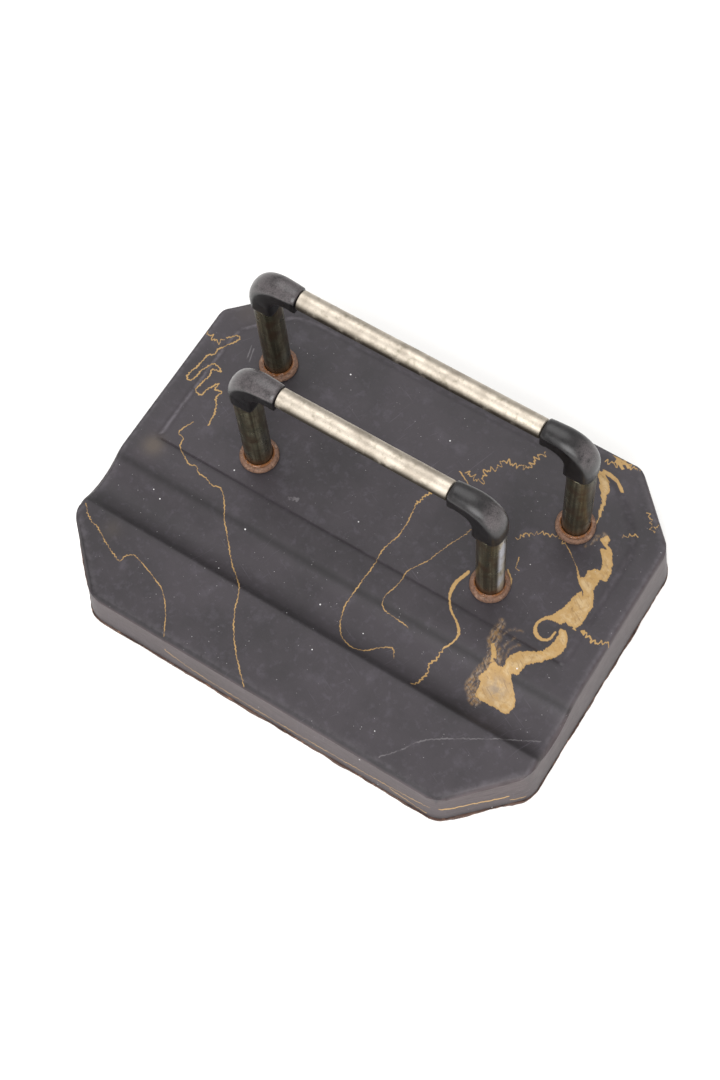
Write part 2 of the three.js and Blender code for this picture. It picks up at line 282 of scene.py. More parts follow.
@dataclass(frozen=True)
class MarbledRubber:
    """Hard rubber with a gold marbling, pressed in a mould and gone dull with age.

    The eye gets a matte near-black ground with a faint violet cast, ochre veins with ragged
    edges, dust in the grain, hairline scratches, painted shade along the creases, the front rim
    and the walls' foot, a painted sheen on the walls and wear with a painted highlight on the
    panel's soft edge.
    """

    ground: int = 0x322D31
    ground_dark: int = 0x272326
    haze: int = 0x504B53
    wall_sheen: int = 0x4E4344
    dirt_and_shade: int = 0x0D0B0B
    stain: int = 0x544A40
    scuff: int = 0x7C787A
    wear_and_highlight: int = 0x6E696E
    gold: int = 0xA1814F
    gold_pale: int = 0xB1976E
    gold_dark: int = 0x775B38
    gold_grey: int = 0x7F7061
    speck: int = 0xD6D4D4
    gloss: float = 0.36
    cloud_mm: float = 26.0
    mottle_mm: float = 2.4
    grain_mm: float = 0.35
    speck_cell_mm: float = 3.4
    vein_edge_mm: float = 0.14
    comb_turn: float = 0.6
    smoothest: float = 0.46
    roughest: float = 0.62
    relief_mm: float = 0.05

    def material(self) -> bpy.types.Material:
        """Builds the finish."""
        s = Surface("marbled_hard_rubber", metallic=0.0, roughness=0.5)
        mottle = s.wear(self.mottle_mm, 5)
        grain = s.wear(self.grain_mm, 2)
        colour = s.tint(self.ground_dark, self.ground, s.patches(self.cloud_mm, 0.32, 0.62))
        colour = s.tint(colour, self.haze, s.step(mottle, 0.5, 0.78, 0.3))
        colour = s.tint(colour, self.haze, s.patches(9.0, 0.55, 0.75, 0.3, 6))
        # Painted sheen on the walls, paler towards their top, more at the right end and along its rim.
        colour = s.tint(colour, self.wall_sheen, s.times(s.value("wall"), 0.75))
        colour = s.tint(colour, self.stain, s.value("stain"))
        grazed = s.times(s.value("wall"), s.patches(1.4, 0.45, 0.7, 0.5, 5, (5, 5, 0.35)))
        colour = s.tint(colour, self.dirt_and_shade, grazed)
        # Wear with a painted highlight on the panel's soft edge, and a painted highlight along the rim's
        # shoulder.
        colour = s.tint(colour, self.wear_and_highlight, s.times(s.value("rubbed"), s.step(mottle, 0.25, 0.6, 0.75)))
        # Painted shade in the creases, along the front rim and at the walls' foot.
        colour = s.tint(colour, self.dirt_and_shade, s.value("painted_shade"))
        for turn, length in ((0.45, 14.0), (-0.9, 9.0), (1.9, 18.0)):
            colour = s.tint(colour, self.haze, self.scratches(s, turn, length))
        wisps = s.patches(1.0, 0.32, 0.6, detail=6, stretch=(0.7, 2.2, 1))
        smoke = s.times(s.value("smoke"), s.times(wisps, s.step(self.comb(s), 0.3, 0.5)))
        ash = s.tint(self.gold_grey, self.gold_dark, s.patches(1.0, 0.38, 0.56, detail=5))
        colour = s.tint(colour, ash, s.times(smoke, 0.9))
        faint = s.times(s.step(s.value("ghost"), -0.2, 0.06), s.patches(3.0, 0.3, 0.6, 0.4, 4))
        colour = s.tint(colour, self.scuff, faint)
        vein, inside = self.vein(s)
        colour = s.tint(colour, self.vein_colour(s, inside), vein)
        specks = self.specks(s)
        colour = s.tint(colour, self.speck, specks)
        clean = s.step(s.value("painted_shade"), 2.0, 0.0, self.gloss)
        s.tree.links.new(clean, s.shader.inputs["Specular IOR Level"])
        span = {"To Min": self.smoothest, "To Max": self.roughest}
        rough = s.add("ShaderNodeMapRange", span, {"Value": mottle}).outputs[0]
        height = s.plus(s.times(grain, 0.5), s.times(mottle, 0.5))
        height = s.plus(height, specks)
        return s.finish(colour, rough, height, self.relief_mm)

    def vein(self, s: Surface) -> tuple[Socket, Socket]:
        """Where the gold shows: the vein's depth, in millimetres, with its edge made ragged.

        Args:
            s: The material.

        Returns:
            How much gold shows, and how deep inside a vein the point is.
        """
        depth = s.value("vein")
        ragged = s.times(s.less(s.wear(0.5, 3), 0.42), 0.3)
        torn = s.times(s.less(self.comb(s), 0.5), s.value("torn"))
        inside = s.plus(s.plus(depth, ragged), torn)
        return s.step(inside, -self.vein_edge_mm / 2, self.vein_edge_mm / 2, 0.95), inside

    def comb(self, s: Surface) -> Socket:
        """Fine lines that run slantwise, as if the wet gold had been combed into the black."""
        turned = s.add("ShaderNodeMapping", {"Rotation": (0, 0, self.comb_turn)}, {"Vector": s.mm}).outputs[0]
        place = s.add("ShaderNodeMapping", {"Scale": (0.22, 1.5, 0.2)}, {"Vector": turned}).outputs[0]
        look = {"Scale": 1.0, "Detail": 4.0, "Roughness": 0.65, "Distortion": 0.4}
        return s.add("ShaderNodeTexNoise", look, {"Vector": place}).outputs["Fac"]

    def vein_colour(self, s: Surface, depth: Socket) -> Socket:
        """The gold's own colour, with darker streaks and a paler heart in the wide flows."""
        gold = s.tint(self.gold_dark, self.gold, s.patches(1.6, 0.2, 0.42, detail=5, stretch=(1, 2.2, 1)))
        gold = s.tint(self.gold_dark, gold, s.step(depth, -0.12, 0.2))
        heart = s.step(depth, 0.2, 1.3)
        gold = s.tint(gold, self.gold_pale, s.times(heart, s.patches(3.5, 0.38, 0.62, detail=5)))
        gold = s.tint(gold, self.gold_dark, s.times(heart, s.step(self.comb(s), 0.52, 0.68, 0.6)))
        gold = s.tint(gold, self.gold_dark, s.times(heart, s.patches(0.8, 0.52, 0.7, 0.4, 6)))
        return s.tint(gold, self.gold_grey, s.times(s.value("ashen"), s.patches(2.8, 0.3, 0.55, detail=5)))

    def specks(self, s: Surface) -> Socket:
        """Grains of white dust: a few large ones, and many fine ones."""
        layers = []
        for cell_mm, rare, size, show in ((self.speck_cell_mm, 0.8, 0.1, 0.85), (1.1, 0.62, 0.13, 0.5)):
            dust = s.add("ShaderNodeTexVoronoi", {"Scale": 1 / cell_mm}, {"Vector": s.mm})
            chance = s.add("ShaderNodeSeparateColor", {}, {0: dust.outputs["Color"]}).outputs[0]
            near = s.less(s.step(chance, rare, 1.0, size), dust.outputs["Distance"])
            layers.append(s.step(near, 0.0, 0.04, show))
        fine = s.times(layers[1], s.patches(12.0, 0.42, 0.62, detail=3))
        return s.sums("MAXIMUM", layers[0], fine)

    def scratches(self, s: Surface, turn: float, length: float) -> Socket:
        """Hairline scratches that all run one way.

        Args:
            s: The material.
            turn: The way they run, as an angle from X.
            length: How long the scratches are, in millimetres.

        Returns:
            How pale the surface is.
        """
        turned = s.add("ShaderNodeMapping", {"Rotation": (0, 0, turn)}, {"Vector": s.mm}).outputs[0]
        long = {"Scale": (1 / length, 2.6, 0.05)}
        place = s.add("ShaderNodeMapping", long, {"Vector": turned}).outputs[0]
        lines = s.add("ShaderNodeTexNoise", {"Scale": 1.0, "Detail": 1.0}, {"Vector": place}).outputs["Fac"]
        return s.times(s.step(lines, 0.71, 0.78, 0.5), s.patches(24.0, 0.5, 0.62, detail=2))


@dataclass(frozen=True)
class RustySteel:
    """A turned steel collar that has rusted, with old lacquer pooled round the post's foot.

    The eye gets a rough orange-brown crust and a thin wet-looking amber ring.
    """

    rust: int = 0x6E5140
    rust_pale: int = 0x957865
    rust_dark: int = 0x4A362C
    lacquer: int = 0x6F4626
    crust_mm: float = 0.7
    relief_mm: float = 0.3

    def material(self) -> bpy.types.Material:
        """Builds the finish."""
        s = Surface("rusted_steel", metallic=0.15, roughness=0.8)
        crust = s.wear(self.crust_mm, 6)
        colour = s.tint(self.rust_dark, self.rust, s.step(crust, 0.34, 0.52))
        colour = s.tint(colour, self.rust_pale, s.patches(1.7, 0.52, 0.72, 0.8, 6))
        wet = s.times(s.value("wet"), s.patches(1.6, 0.36, 0.5, detail=3))
        colour = s.tint(colour, self.lacquer, wet)
        rough = s.less(s.plus(s.times(crust, 0.3), 0.55), s.times(wet, 0.66))
        return s.finish(colour, rough, s.less(crust, s.times(wet, crust)), self.relief_mm)


@dataclass(frozen=True)
class TarnishedNickel:
    """Nickel-plated brass tube whose plating has gone dull and olive.

    The eye gets dark streaks along the tube, a painted highlight in pale streaks down one side
    and rust at the foot.
    """

    plate: int = 0x7E7A66
    tarnish: int = 0x464335
    tarnish_brown: int = 0x49392A
    patina: int = 0x444639
    rust: int = 0x5B3A20
    painted_highlight: int = 0xA5A6AC
    painted_highlight_warm: int = 0x938B7B
    streak_mm: float = 1.3
    relief_mm: float = 0.03

    def material(self) -> bpy.types.Material:
        """Builds the finish."""
        s = Surface("tarnished_nickel_plate", metallic=0.8, roughness=0.3)
        streaks = s.wear(self.streak_mm, 2, (1, 1, 40))
        blotches = s.wear(5.0, 6)
        colour = s.tint(self.tarnish, self.plate, s.step(streaks, 0.4, 0.72))
        colour = s.tint(colour, self.tarnish_brown, s.step(blotches, 0.42, 0.66, 0.85))
        colour = s.tint(colour, self.patina, s.patches(6.5, 0.5, 0.66, 0.55, 5))
        # Painted highlight: a pale, less metallic streaky band down one side of the post.
        painted_highlight = s.times(s.value("painted_highlight"), s.patches(2.4, 0.3, 0.46, detail=6, stretch=(1, 1, 5)))
        colour = s.tint(colour, s.tint(self.painted_highlight_warm, self.painted_highlight, s.patches(9.0, 0.4, 0.6, detail=3)), painted_highlight)
        s.tree.links.new(s.plus(s.times(painted_highlight, -0.6), 0.8), s.shader.inputs["Metallic"])
        colour = s.tint(colour, self.rust, s.value("foot"))
        pits = s.patches(0.5, 0.6, 0.72, detail=4)
        colour = s.tint(colour, self.rust, s.times(pits, 0.55))
        rough = s.plus(s.times(blotches, 0.34), 0.14)
        return s.finish(colour, rough, s.plus(s.times(streaks, 0.4), pits), self.relief_mm)


@dataclass(frozen=True)
class SatinNickel:
    """Nickel-plated tube, brushed, handled and gone patchy.

    The eye gets a warm silver with cloudy grey blotches, a soft broad highlight and painted
    shade on its underside and along its back edge.
    """

    plate: int = 0xC9BFB1
    dull: int = 0xAEA497
    olive: int = 0x7C7664
    rail_shade: int = 0x3A342C
    blotch_mm: float = 5.5
    relief_mm: float = 0.018

    def material(self) -> bpy.types.Material:
        """Builds the finish."""
        s = Surface("satin_nickel_plate", metallic=1.0, roughness=0.34)
        blotches = s.wear(self.blotch_mm, 7)
        fine = s.wear(0.8, 5)
        colour = s.tint(self.dull, self.plate, s.step(blotches, 0.34, 0.6))
        colour = s.tint(colour, self.olive, s.patches(2.6, 0.52, 0.72, 0.55, 6))
        colour = s.tint(colour, self.olive, s.step(fine, 0.56, 0.72, 0.35))
        # Painted shade on the rail's underside and back edge.
        colour = s.tint(colour, self.rail_shade, s.times(s.value("rail_shade"), s.patches(4.5, 0.05, 0.5, detail=3)))
        rough = s.plus(s.times(blotches, -0.2), 0.6)
        return s.finish(colour, rough, fine, self.relief_mm)


@dataclass(frozen=True)
class BlackPhenolic:
    """Black phenolic resin, pressed in a polished mould and rubbed to a half gloss by hands.

    The eye gets a deep black with a soft grey sheen on top, painted into the colour along with
    dust, and a few dull scuffs.
    """

    resin: int = 0x0B0A0B
    rubbed: int = 0x171415
    # A grey for dust together with a painted sheen on the elbows' tops.
    dust: int = 0x565051
    scuff_mm: float = 3.0
    gloss: float = 0.4
    relief_mm: float = 0.02

    def material(self) -> bpy.types.Material:
        """Builds the finish."""
        s = Surface("black_phenolic_resin", metallic=0.0, roughness=0.34)
        s.shader.inputs["Specular IOR Level"].default_value = self.gloss
        scuffs = s.wear(self.scuff_mm, 7)
        fine = s.wear(0.4, 3)
        colour = s.tint(self.resin, self.rubbed, s.step(scuffs, 0.48, 0.75, 0.8))
        grey = s.plus(s.step(scuffs, 0.3, 0.6, 0.4), s.step(fine, 0.3, 0.6, 0.45))
        # Dust together with a painted sheen on the tops and outer bends.
        colour = s.tint(colour, self.dust, s.times(s.value("dust"), grey))
        rough = s.plus(s.times(scuffs, 0.3), 0.18)
        return s.finish(colour, rough, s.plus(fine, scuffs), self.relief_mm)


@dataclass(frozen=True)
class FibreBoard:
    """Pressed fibre board, brown right through, with a chipped edge.

    The eye gets a fibrous dark brown with paler torn places.
    """

    board: int = 0x513A30
    torn: int = 0x8E654C
    dark: int = 0x32241F
    fibre_mm: float = 0.7
    relief_mm: float = 0.2

    def material(self) -> bpy.types.Material:
        """Builds the finish."""
        s = Surface("brown_fibre_board", metallic=0.0, roughness=0.85)
        fibre = s.wear(self.fibre_mm, 6, (3.0, 3.0, 0.6))
        colour = s.tint(self.dark, self.board, s.step(fibre, 0.35, 0.55))
        colour = s.tint(colour, self.torn, s.patches(2.2, 0.56, 0.7, 0.8, 6))
        return s.finish(colour, None, fibre, self.relief_mm)


@dataclass(frozen=True)
class TurnedMetal:
    """A small turned fastener: brass or plain steel, with fine tool marks and a light tarnish."""

    name: str
    metal: int
    tarnish: int
    relief_mm: float = 0.02

    def material(self) -> bpy.types.Material:
        """Builds the finish."""
        s = Surface(self.name, metallic=1.0, roughness=0.35)
        marks = s.wear(0.3, 3, (4, 4, 0.5))
        colour = s.tint(self.metal, self.tarnish, s.patches(1.5, 0.45, 0.7, detail=5))
        return s.finish(colour, s.plus(s.times(marks, 0.2), 0.25), marks, self.relief_mm)


class Finish(Enum):
    """The finishes of this stand, each with the material slot that it belongs to."""

    RUBBER = ("marbled_rubber", MarbledRubber())
    BOARD = ("fibre_board", FibreBoard())
    RUST = ("rusty_steel", RustySteel())
    TARNISH = ("tarnished_nickel", TarnishedNickel())
    SATIN = ("satin_metal", SatinNickel())
    PHENOLIC = ("black_phenolic", BlackPhenolic())
    BRASS = ("brass_bush", TurnedMetal("turned_brass", 0xB08D4A, 0x6E5426))
    STEEL = ("plain_steel", TurnedMetal("plain_turned_steel", 0x8C8C8C, 0x5A5754))

    @property
    def slot(self) -> str:
        """The finish's material slot."""
        return self.value[0]

    def material(self) -> bpy.types.Material:
        """The finish's material, built the first time it is asked for."""
        made = bpy.data.materials.get(f"finish_{self.slot}")
        if made is None:
            made = self.value[1].material()
            made.name = f"finish_{self.slot}"
        return made


# ---------------------------------------------------------------- making a piece


def make_piece(name: str, shape: Shape, finish: Finish, node: str, crease_deg: float = 35.0) -> Piece:
    """Turns a shape in millimetres into a piece that rides on the root body.

    Args:
        name: The piece's name.
        shape: The bmesh, which is used up.
        finish: What the piece is made of.
        node: The CAD node that it stands for.
        crease_deg: The angle past which an edge stays sharp.

    Returns:
        The new object.
    """
    bmesh.ops.scale(shape, vec=(MM, MM, MM), verts=shape.verts)
    mesh = bpy.data.meshes.new(name)
    shape.to_mesh(mesh)
    shape.free()
    mesh.shade_smooth()
    mesh.set_sharp_from_angle(angle=math.radians(crease_deg))
    piece = bpy.data.objects.new(name, mesh)
    bpy.context.scene.collection.objects.link(piece)
    mesh.materials.append(finish.material())
    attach(piece, "root")
    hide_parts(node)
    return piece


def set_values(piece: Piece, name: str, values: np.ndarray) -> None:
    """Keeps one value at each point of a piece's mesh, for its material to read."""
    layer = piece.data.attributes.new(name, "FLOAT", "POINT")
    layer.data.foreach_set("value", np.asarray(values, dtype=np.float32))


def read_rows(piece: Piece, what: str) -> np.ndarray:
    """Reads "co" or "normal" at every point of a piece's mesh, as rows of X, Y and Z."""
    flat = np.empty(3 * len(piece.data.vertices), dtype=np.float32)
    piece.data.vertices.foreach_get(what, flat)
    return flat.reshape(-1, 3).astype(float)


def points_of(piece: Piece) -> np.ndarray:
    """Every point of a piece's mesh, in millimetres."""
    return read_rows(piece, "co") / MM


def points_in(geom: list) -> list:
    """The points among the geometry that an operator made."""
    return [g for g in geom if isinstance(g, bmesh.types.BMVert)]


def drawn_on(shape: Shape, ring: list) -> tuple[list, list]:
    """Extrudes a ring of edges.

    Args:
        shape: The bmesh.
        ring: The edges.

    Returns:
        The new ring's points and its edges.
    """
    made = bmesh.ops.extrude_edge_only(shape, edges=ring)["geom"]
    return points_in(made), [g for g in made if isinstance(g, bmesh.types.BMEdge)]


def dented(shape: Shape, centre: Vector, axis: int, depth: float, fineness: float) -> None:
    """Presses faint dents into a tube.

    Args:
        shape: The bmesh.
        centre: A point of the tube's axis.
        axis: 0, 1 or 2, for a tube along X, Y or Z.
        depth: How deep the dents are, in millimetres.
        fineness: How close together they are.
    """
    for v in shape.verts:
        out = v.co - centre
        out[axis] = 0
        v.co += out.normalized() * depth * (noise.noise(v.co * fineness) - 0.5)


def bump(x: np.ndarray, width: float) -> np.ndarray:
    """A soft hump, 1 at zero, as wide as given."""
    return np.exp(-((x / width) ** 2))


def ramp(x: np.ndarray) -> np.ndarray:
    """A smooth step from 0 to 1 as x goes from 0 to 1."""
    t = np.clip(x, 0.0, 1.0)
    return t * t * (3 - 2 * t)


# ---------------------------------------------------------------- veins

FAR = 4.0
SEARCH = 8.0
WAVES = ((0.31, 0.6), (1.0, 0.9), (1.73, 0.6), (2.9, 0.3))
THINNEST = 0.04


@dataclass(frozen=True)
class Stroke:
    """One vein or flow of gold, laid on the base along a few points, in millimetres.

    A point is (x, y, half width) on top of the base. Between them the route is a smooth curve,
    which swings from side to side by the frill.
    """

    route: tuple
    frill: float = 0.12
    frill_mm: float = 1.6
    seed: int = 1
    fineness: float = 0.3

    def curve(self) -> np.ndarray:
        """The stroke as a fine line with its frills, as rows of x, y and half width."""
        p = np.array(self.route, dtype=float)
        p = np.vstack([2 * p[0] - p[1], p, 2 * p[-1] - p[-2]])
        rows = []
        for a, b, c, d in zip(p, p[1:], p[2:], p[3:]):
            steps = max(4, round(float(np.linalg.norm(c[:2] - b[:2])) / self.fineness))
            t = np.linspace(0, 1, steps, endpoint=False)[:, None]
            bend = (2 * a - 5 * b + 4 * c - d) * t**2 + (3 * b - a - 3 * c + d) * t**3
            rows.append(0.5 * (2 * b + (c - a) * t + bend))
        return self.frilled(np.vstack(rows + [p[-2:-1]]))

    def frilled(self, line: np.ndarray) -> np.ndarray:
        """Swings the line from side to side as it runs, more where the frill is larger."""
        along = np.diff(line[:, :2], axis=0, append=line[-1:, :2] * 2 - line[-2:-1, :2])
        size = np.maximum(np.linalg.norm(along, axis=1), 1e-6)
        run = np.cumsum(size) / self.frill_mm
        rng = np.random.default_rng(self.seed)
        phase = rng.uniform(0, 2 * math.pi, 4)
        swing = sum(
            weight * np.arcsin(np.sin(2 * math.pi * run * pace + phase[i])) * 2 / math.pi
            for i, (pace, weight) in enumerate(WAVES)
        )
        side = np.column_stack([-along[:, 1], along[:, 0]]) / size[:, None]
        out = line.copy()
        out[:, :2] += side * (self.frill * swing)[:, None]
        throb = 0.05 * np.sin(2 * math.pi * run * 0.23 + phase[3])
        out[:, 2] = np.maximum(line[:, 2] + throb, THINNEST)
        return out


@dataclass(frozen=True)
class Flow:
    """A wide flow of gold on top of the base, as the outline of its edge, in millimetres."""

    outline: tuple
    torn: float
    lowest: float = 15.0

    def depth(self, points: np.ndarray) -> np.ndarray:
        """How deep each point lies inside the outline, seen from above, negative outside it.

        Args:
            points: Rows of X, Y and Z, where Z is the top's height.

        Returns:
            The depth at each point, in millimetres, no lower than -FAR.
        """
        depth = np.full(len(points), -FAR)
        ring = np.array(self.outline, dtype=float)
        low, high = ring.min(axis=0) - FAR, ring.max(axis=0) + FAR
        beside = np.all((points[:, :2] > low) & (points[:, :2] < high), axis=1)
        near = np.flatnonzero(beside & (points[:, 2] > self.lowest))
        spot = points[near, :2]
        gap = np.full(len(near), FAR)
        inside = np.zeros(len(near), dtype=bool)
        for a, b in zip(ring, np.roll(ring, -1, axis=0)):
            way = b - a
            part = np.clip((spot - a) @ way / (way @ way), 0, 1)
            gap = np.minimum(gap, np.linalg.norm(spot - a - part[:, None] * way, axis=1))
            across = a[0] + way[0] * (spot[:, 1] - a[1]) / (way[1] or 1e-9)
            inside ^= ((a[1] > spot[:, 1]) != (b[1] > spot[:, 1])) & (spot[:, 0] < across)
        depth[near] = np.where(inside, gap, -gap)
        return depth


def hair(half: float, *route: tuple, **look: float) -> Stroke:
    """A thin vein of one half width through the given (x, y) points."""
    return Stroke(tuple((x, y, half) for x, y in route), **look)


def flow(torn: float, *outline: tuple) -> Flow:
    """A wide flow with an edge torn so much, in millimetres, through the given (x, y) points."""
    return Flow(outline, torn)


VEINS = (
    hair(
        0.12, (-69, 2.5), (-71, -3), (-68.5, -4), (-68, -6.5), (-66.5, -8), (-62, -10.5), (-59.5, -10),
        (-57.5, -11.5), (-54, -12), (-51, -13), (-48, -12.5), (-44, -16.5), (-42, -20), (-37.5, -25),
        (-32, -31), (-24.5, -37.5), (-21.5, -44.5), (-18, -50.5), (-13.5, -56), (-9.5, -60),
        (-5.5, -63.7), frill=0.13, seed=3,
    ),
    hair(
        0.07, (-83.5, -39), (-79.5, -42.5), (-75, -44), (-69.5, -47), (-63, -49.5), (-62, -47),
        (-59.5, -45.5), frill=0.2, frill_mm=1.2, seed=5,
    ),
    hair(
        0.09, (-59.5, -45.5), (-54.5, -47), (-49, -49), (-45, -51), (-40.5, -56), (-36.5, -63),
        frill=0.08, seed=6,
    ),
    hair(
        0.17, (-64, 4), (-65, 9.5), (-67.5, 14), (-67, 16.5), (-69.5, 16), (-69.5, 18.5), (-71.5, 15.5),
        (-72.5, 12), (-75, 13), (-74, 19.5), (-74.5, 22), (-71.5, 22.5), (-75, 24), (-77.5, 21),
        (-78.5, 15.5), (-80.8, 16), (-79.7, 21.5), (-79.3, 25.5), (-77.5, 27.5), (-77.3, 30), (-75, 32.5),
        (-73, 36), (-75, 36.5), (-77.5, 34.5), frill=0.2, frill_mm=1.2, seed=7,
    ),
    hair(0.09, (-77.5, 33.5), (-80, 32), (-84.5, 32.5), frill=0.8, frill_mm=2.2, seed=9, fineness=0.2),
    hair(0.13, (15, 32), (19, 30), (21.5, 28), frill=0.1, seed=11),
    hair(
        0.11, (17, 33), (20.5, 32), (22.5, 33), (22.5, 36), (24.5, 39.5), (26, 42.5), (30, 43.5),
        (33, 44), (33.5, 47.5), (35.5, 52), frill=0.85, frill_mm=2.1, seed=13, fineness=0.15,
    ),
    hair(0.15, (13, 25.5), (11.5, 22.5), (10, 18.5), (9, 15), frill=0.4, frill_mm=1.2, seed=15),
    hair(
        0.11, (9, 15), (10, 9), (10, 2.5), (8.5, -3), (8.5, -10), (8, -17.5), (7, -24.5), (9.5, -31.5),
        (14, -35.2), (19.5, -35), (24.5, -30.2), (27.5, -29), (29.5, -31.5), frill=0.14, seed=17,
    ),
    hair(
        0.08, (22.5, 0), (19, -6), (18.5, -11), (17, -17.5), (19, -20), (24, -20.5), (28.5, -21),
        frill=0.1, seed=19,
    ),
    hair(0.09, (34, 22), (30, 18.5), (28, 15), frill=0.25, frill_mm=1.2, seed=21),
    Stroke(
        ((35.5, 3.5, 0.45), (34, -1.5, 0.6), (34.5, -6, 0.42), (37, -9.7, 0.26), (41.5, -13, 0.34),
        (43.3, -15.5, 0.4), (43.2, -18.2, 0.26), (41.3, -21, 0.2)), frill=0.08, seed=23,
    ),
    hair(
        0.16, (41.3, -21), (41, -24.5), (40, -27), (40.7, -30), (40.5, -34), (39, -36.5), frill=0.35,
        seed=24,
    ),
    Stroke(((45.6, 10.5, 0.2), (48.4, 7.8, 0.35), (48.8, 3.4, 0.2)), frill=0.08, seed=25),
    hair(
        0.15, (53, 59.6), (56.5, 60), (58, 62.6), (61, 61.7), (64, 63), frill=0.8, frill_mm=2.2, seed=31,
        fineness=0.2,
    ),
    Stroke(
        ((66, 5, 0.3), (63.8, 2.6, 0.35), (62.5, -0.5, 0.45), (63.6, -3, 0.6), (66.2, -4.1, 0.5),
        (68.3, -2.8, 0.4), (68.8, 0.2, 0.2)), frill=0.08, seed=37,
    ),
    hair(0.16, (76, 4.6), (80.5, 4.2), (85, 5.6), frill=0.7, frill_mm=1.9, seed=41, fineness=0.2),
    hair(
        0.08, (42.5, 21), (45, 24.5), (48, 26.5), (52.5, 28.3), (56.5, 27.7), frill=0.6, frill_mm=1.7,
        seed=43,
    ),
    hair(0.06, (56.5, 27.7), (60, 25.3), (64.3, 21.8), (66.8, 19.3), frill=0.1, seed=45),
    hair(
        0.07, (73.5, 51), (76, 48), (78.2, 45.8), (78.4, 48.6), frill=0.5, frill_mm=2, seed=47,
        fineness=0.2,
    ),
    hair(0.09, (70.6, 38.8), (72.5, 40.5), (74.6, 42), frill=0.5, frill_mm=1.7, seed=49),
    hair(0.1, (46.5, 16), (47.5, 12.5), (48.8, 12.2), frill=0.1, seed=51),
    hair(0.04, (28.3, 14.5), (25.5, 8.5), (22.5, 0), frill=0.12, seed=67),
)

FLOWS = (
    flow(
        2.0, (52.7, 55.7), (54.8, 55.8), (57.9, 53.4), (59.2, 51.3), (59.7, 48.3), (60.6, 45.6),
        (61.1, 42.7), (61.7, 39.8), (61.5, 36.8), (61.1, 40.2), (60.1, 43.2), (59.2, 46), (57.6, 48.3),
        (55.6, 51.2), (53.8, 53),
    ),
    flow(
        0.2, (53.6, 56.7), (56.5, 56.8), (59.4, 56.1), (62.4, 54.1), (63.6, 52.8), (62.5, 52.5),
        (59.9, 54.7), (56.9, 55.4), (54.8, 55.3),
    ),
    flow(
        1.7, (65.2, 34.2), (65.5, 35.6), (66.6, 36.7), (67.8, 35.8), (68.2, 34), (70.1, 33.2),
        (71.2, 31.9), (71.4, 30.8), (72.8, 28.9), (73.7, 26.7), (73.8, 24.7), (73.8, 22.8), (72.8, 22.6),
        (71.9, 22.4), (71.9, 20.4), (71.9, 18.5), (73.6, 15.6), (74.6, 13.1), (74.3, 10.6), (74.4, 7.9),
        (74.2, 5.8), (73.5, 4.6), (74.2, 4), (72.8, 3.9), (72.8, 4.6), (71.3, 4.1), (69.8, 4.7),
        (68.7, 3.1), (66.9, 3), (63.9, 2.7), (65.3, 5.1), (66.6, 7.8), (67.4, 11.4), (68.1, 14.6),
        (68.9, 16.3), (70.2, 14.7), (69.6, 16.3), (67.4, 17.7), (65.5, 19.7), (64.5, 21.5), (66.1, 19.9),
        (67.5, 20.6), (67.2, 23.1), (68.7, 24.8), (70.6, 25.2), (70.2, 27.3), (68.4, 29.8), (66.7, 31.5),
        (67.3, 32.3), (69, 32.5), (67.1, 33.4),
    ),
    flow(
        1.7, (69.5, 2.2), (71.3, 2.2), (73.2, 0.3), (74, -2.3), (73.8, -5.1), (72.9, -7.2), (70.9, -8.6),
        (70, -10.1), (68.3, -11.5), (66.5, -13.4), (65.9, -15.9), (65.8, -17.6), (63.9, -18),
        (64.4, -19.3), (65.8, -20.5), (67.3, -21.9), (68.8, -23.7), (69.5, -26.1), (68.9, -28.7),
        (66.7, -29.2), (64.1, -29), (61.6, -29), (59, -29.4), (57.1, -28.7), (56.7, -26.3), (56.6, -24.2),
        (55.1, -23.7), (55.5, -21.8), (56.6, -20.1), (56.7, -18.5), (55.6, -16), (54.2, -14.3),
        (53.6, -12.8), (54.4, -12.3), (55.9, -14.1), (57.3, -15.8), (57.6, -17.6), (59.2, -17.8),
        (60.8, -17.6), (60.2, -15.3), (60.7, -13.1), (62.2, -10.9), (64.7, -9.1), (67, -8.1),
        (68.6, -7.2), (69.4, -5.5), (70, -2.8), (70.1, 0), (69.6, 1.5),
    ),
    flow(0.1, (75, 4.5), (76.1, 5.7), (76.8, 5.1), (76.7, 4), (75.9, 4.2)),
    flow(
        0.3, (53.9, 62.7), (56.8, 62.8), (59.8, 62.5), (61.1, 61.6), (60.4, 60.8), (58.8, 61.9),
        (57.1, 62.1), (58.6, 60.9), (59.6, 60.3), (59, 59.5), (57.3, 60.6), (55.7, 60.8), (55.7, 62.1),
    ),
)

SMOKE = (
    Stroke(
        ((53, -5, 0.8), (53.4, -9.5, 1.5), (54.4, -13.2, 1.7), (57.4, -17.4, 2.2)), frill=0.5, frill_mm=4,
        seed=61,
    ),
    Stroke(
        ((57.5, -16, 1.4), (55.8, -21, 2.3), (55.6, -26.5, 2.7), (58.5, -29.6, 2.0)), frill=0.4,
        frill_mm=4, seed=63,
    ),
    hair(0.25, (59.5, -16.5), (57.6, -12), (58.8, -7.6), frill=0.2, seed=77),
    hair(0.2, (60, -15), (59.4, -11.5), (61.5, -8.8), frill=0.2, seed=79),
    hair(0.2, (54.8, -9), (57, -6.2), (60, -4.6), frill=0.2, seed=81),
    hair(0.35, (62.5, 30), (64, 34), (66.3, 37), frill=0.5, frill_mm=2, seed=71),
)

WALL_VEINS = (
    (0.13, (-36, 9.6), (-33, 8), (-25, 6), (-14, 5), (4, 4.6), (20, 5), (38, 6), (52, 7.4), (64.5, 9.4)),
    (0.16, (48, 5.6), (55, 4.2), (61, 3.2)),
    (0.36, (64.7, 9.6), (68, 8.9), (72.5, 8.4), (80, 7.6)),
    (0.24, (80.4, 4.5), (83, 4.0), (84.8, 4.8)),
)

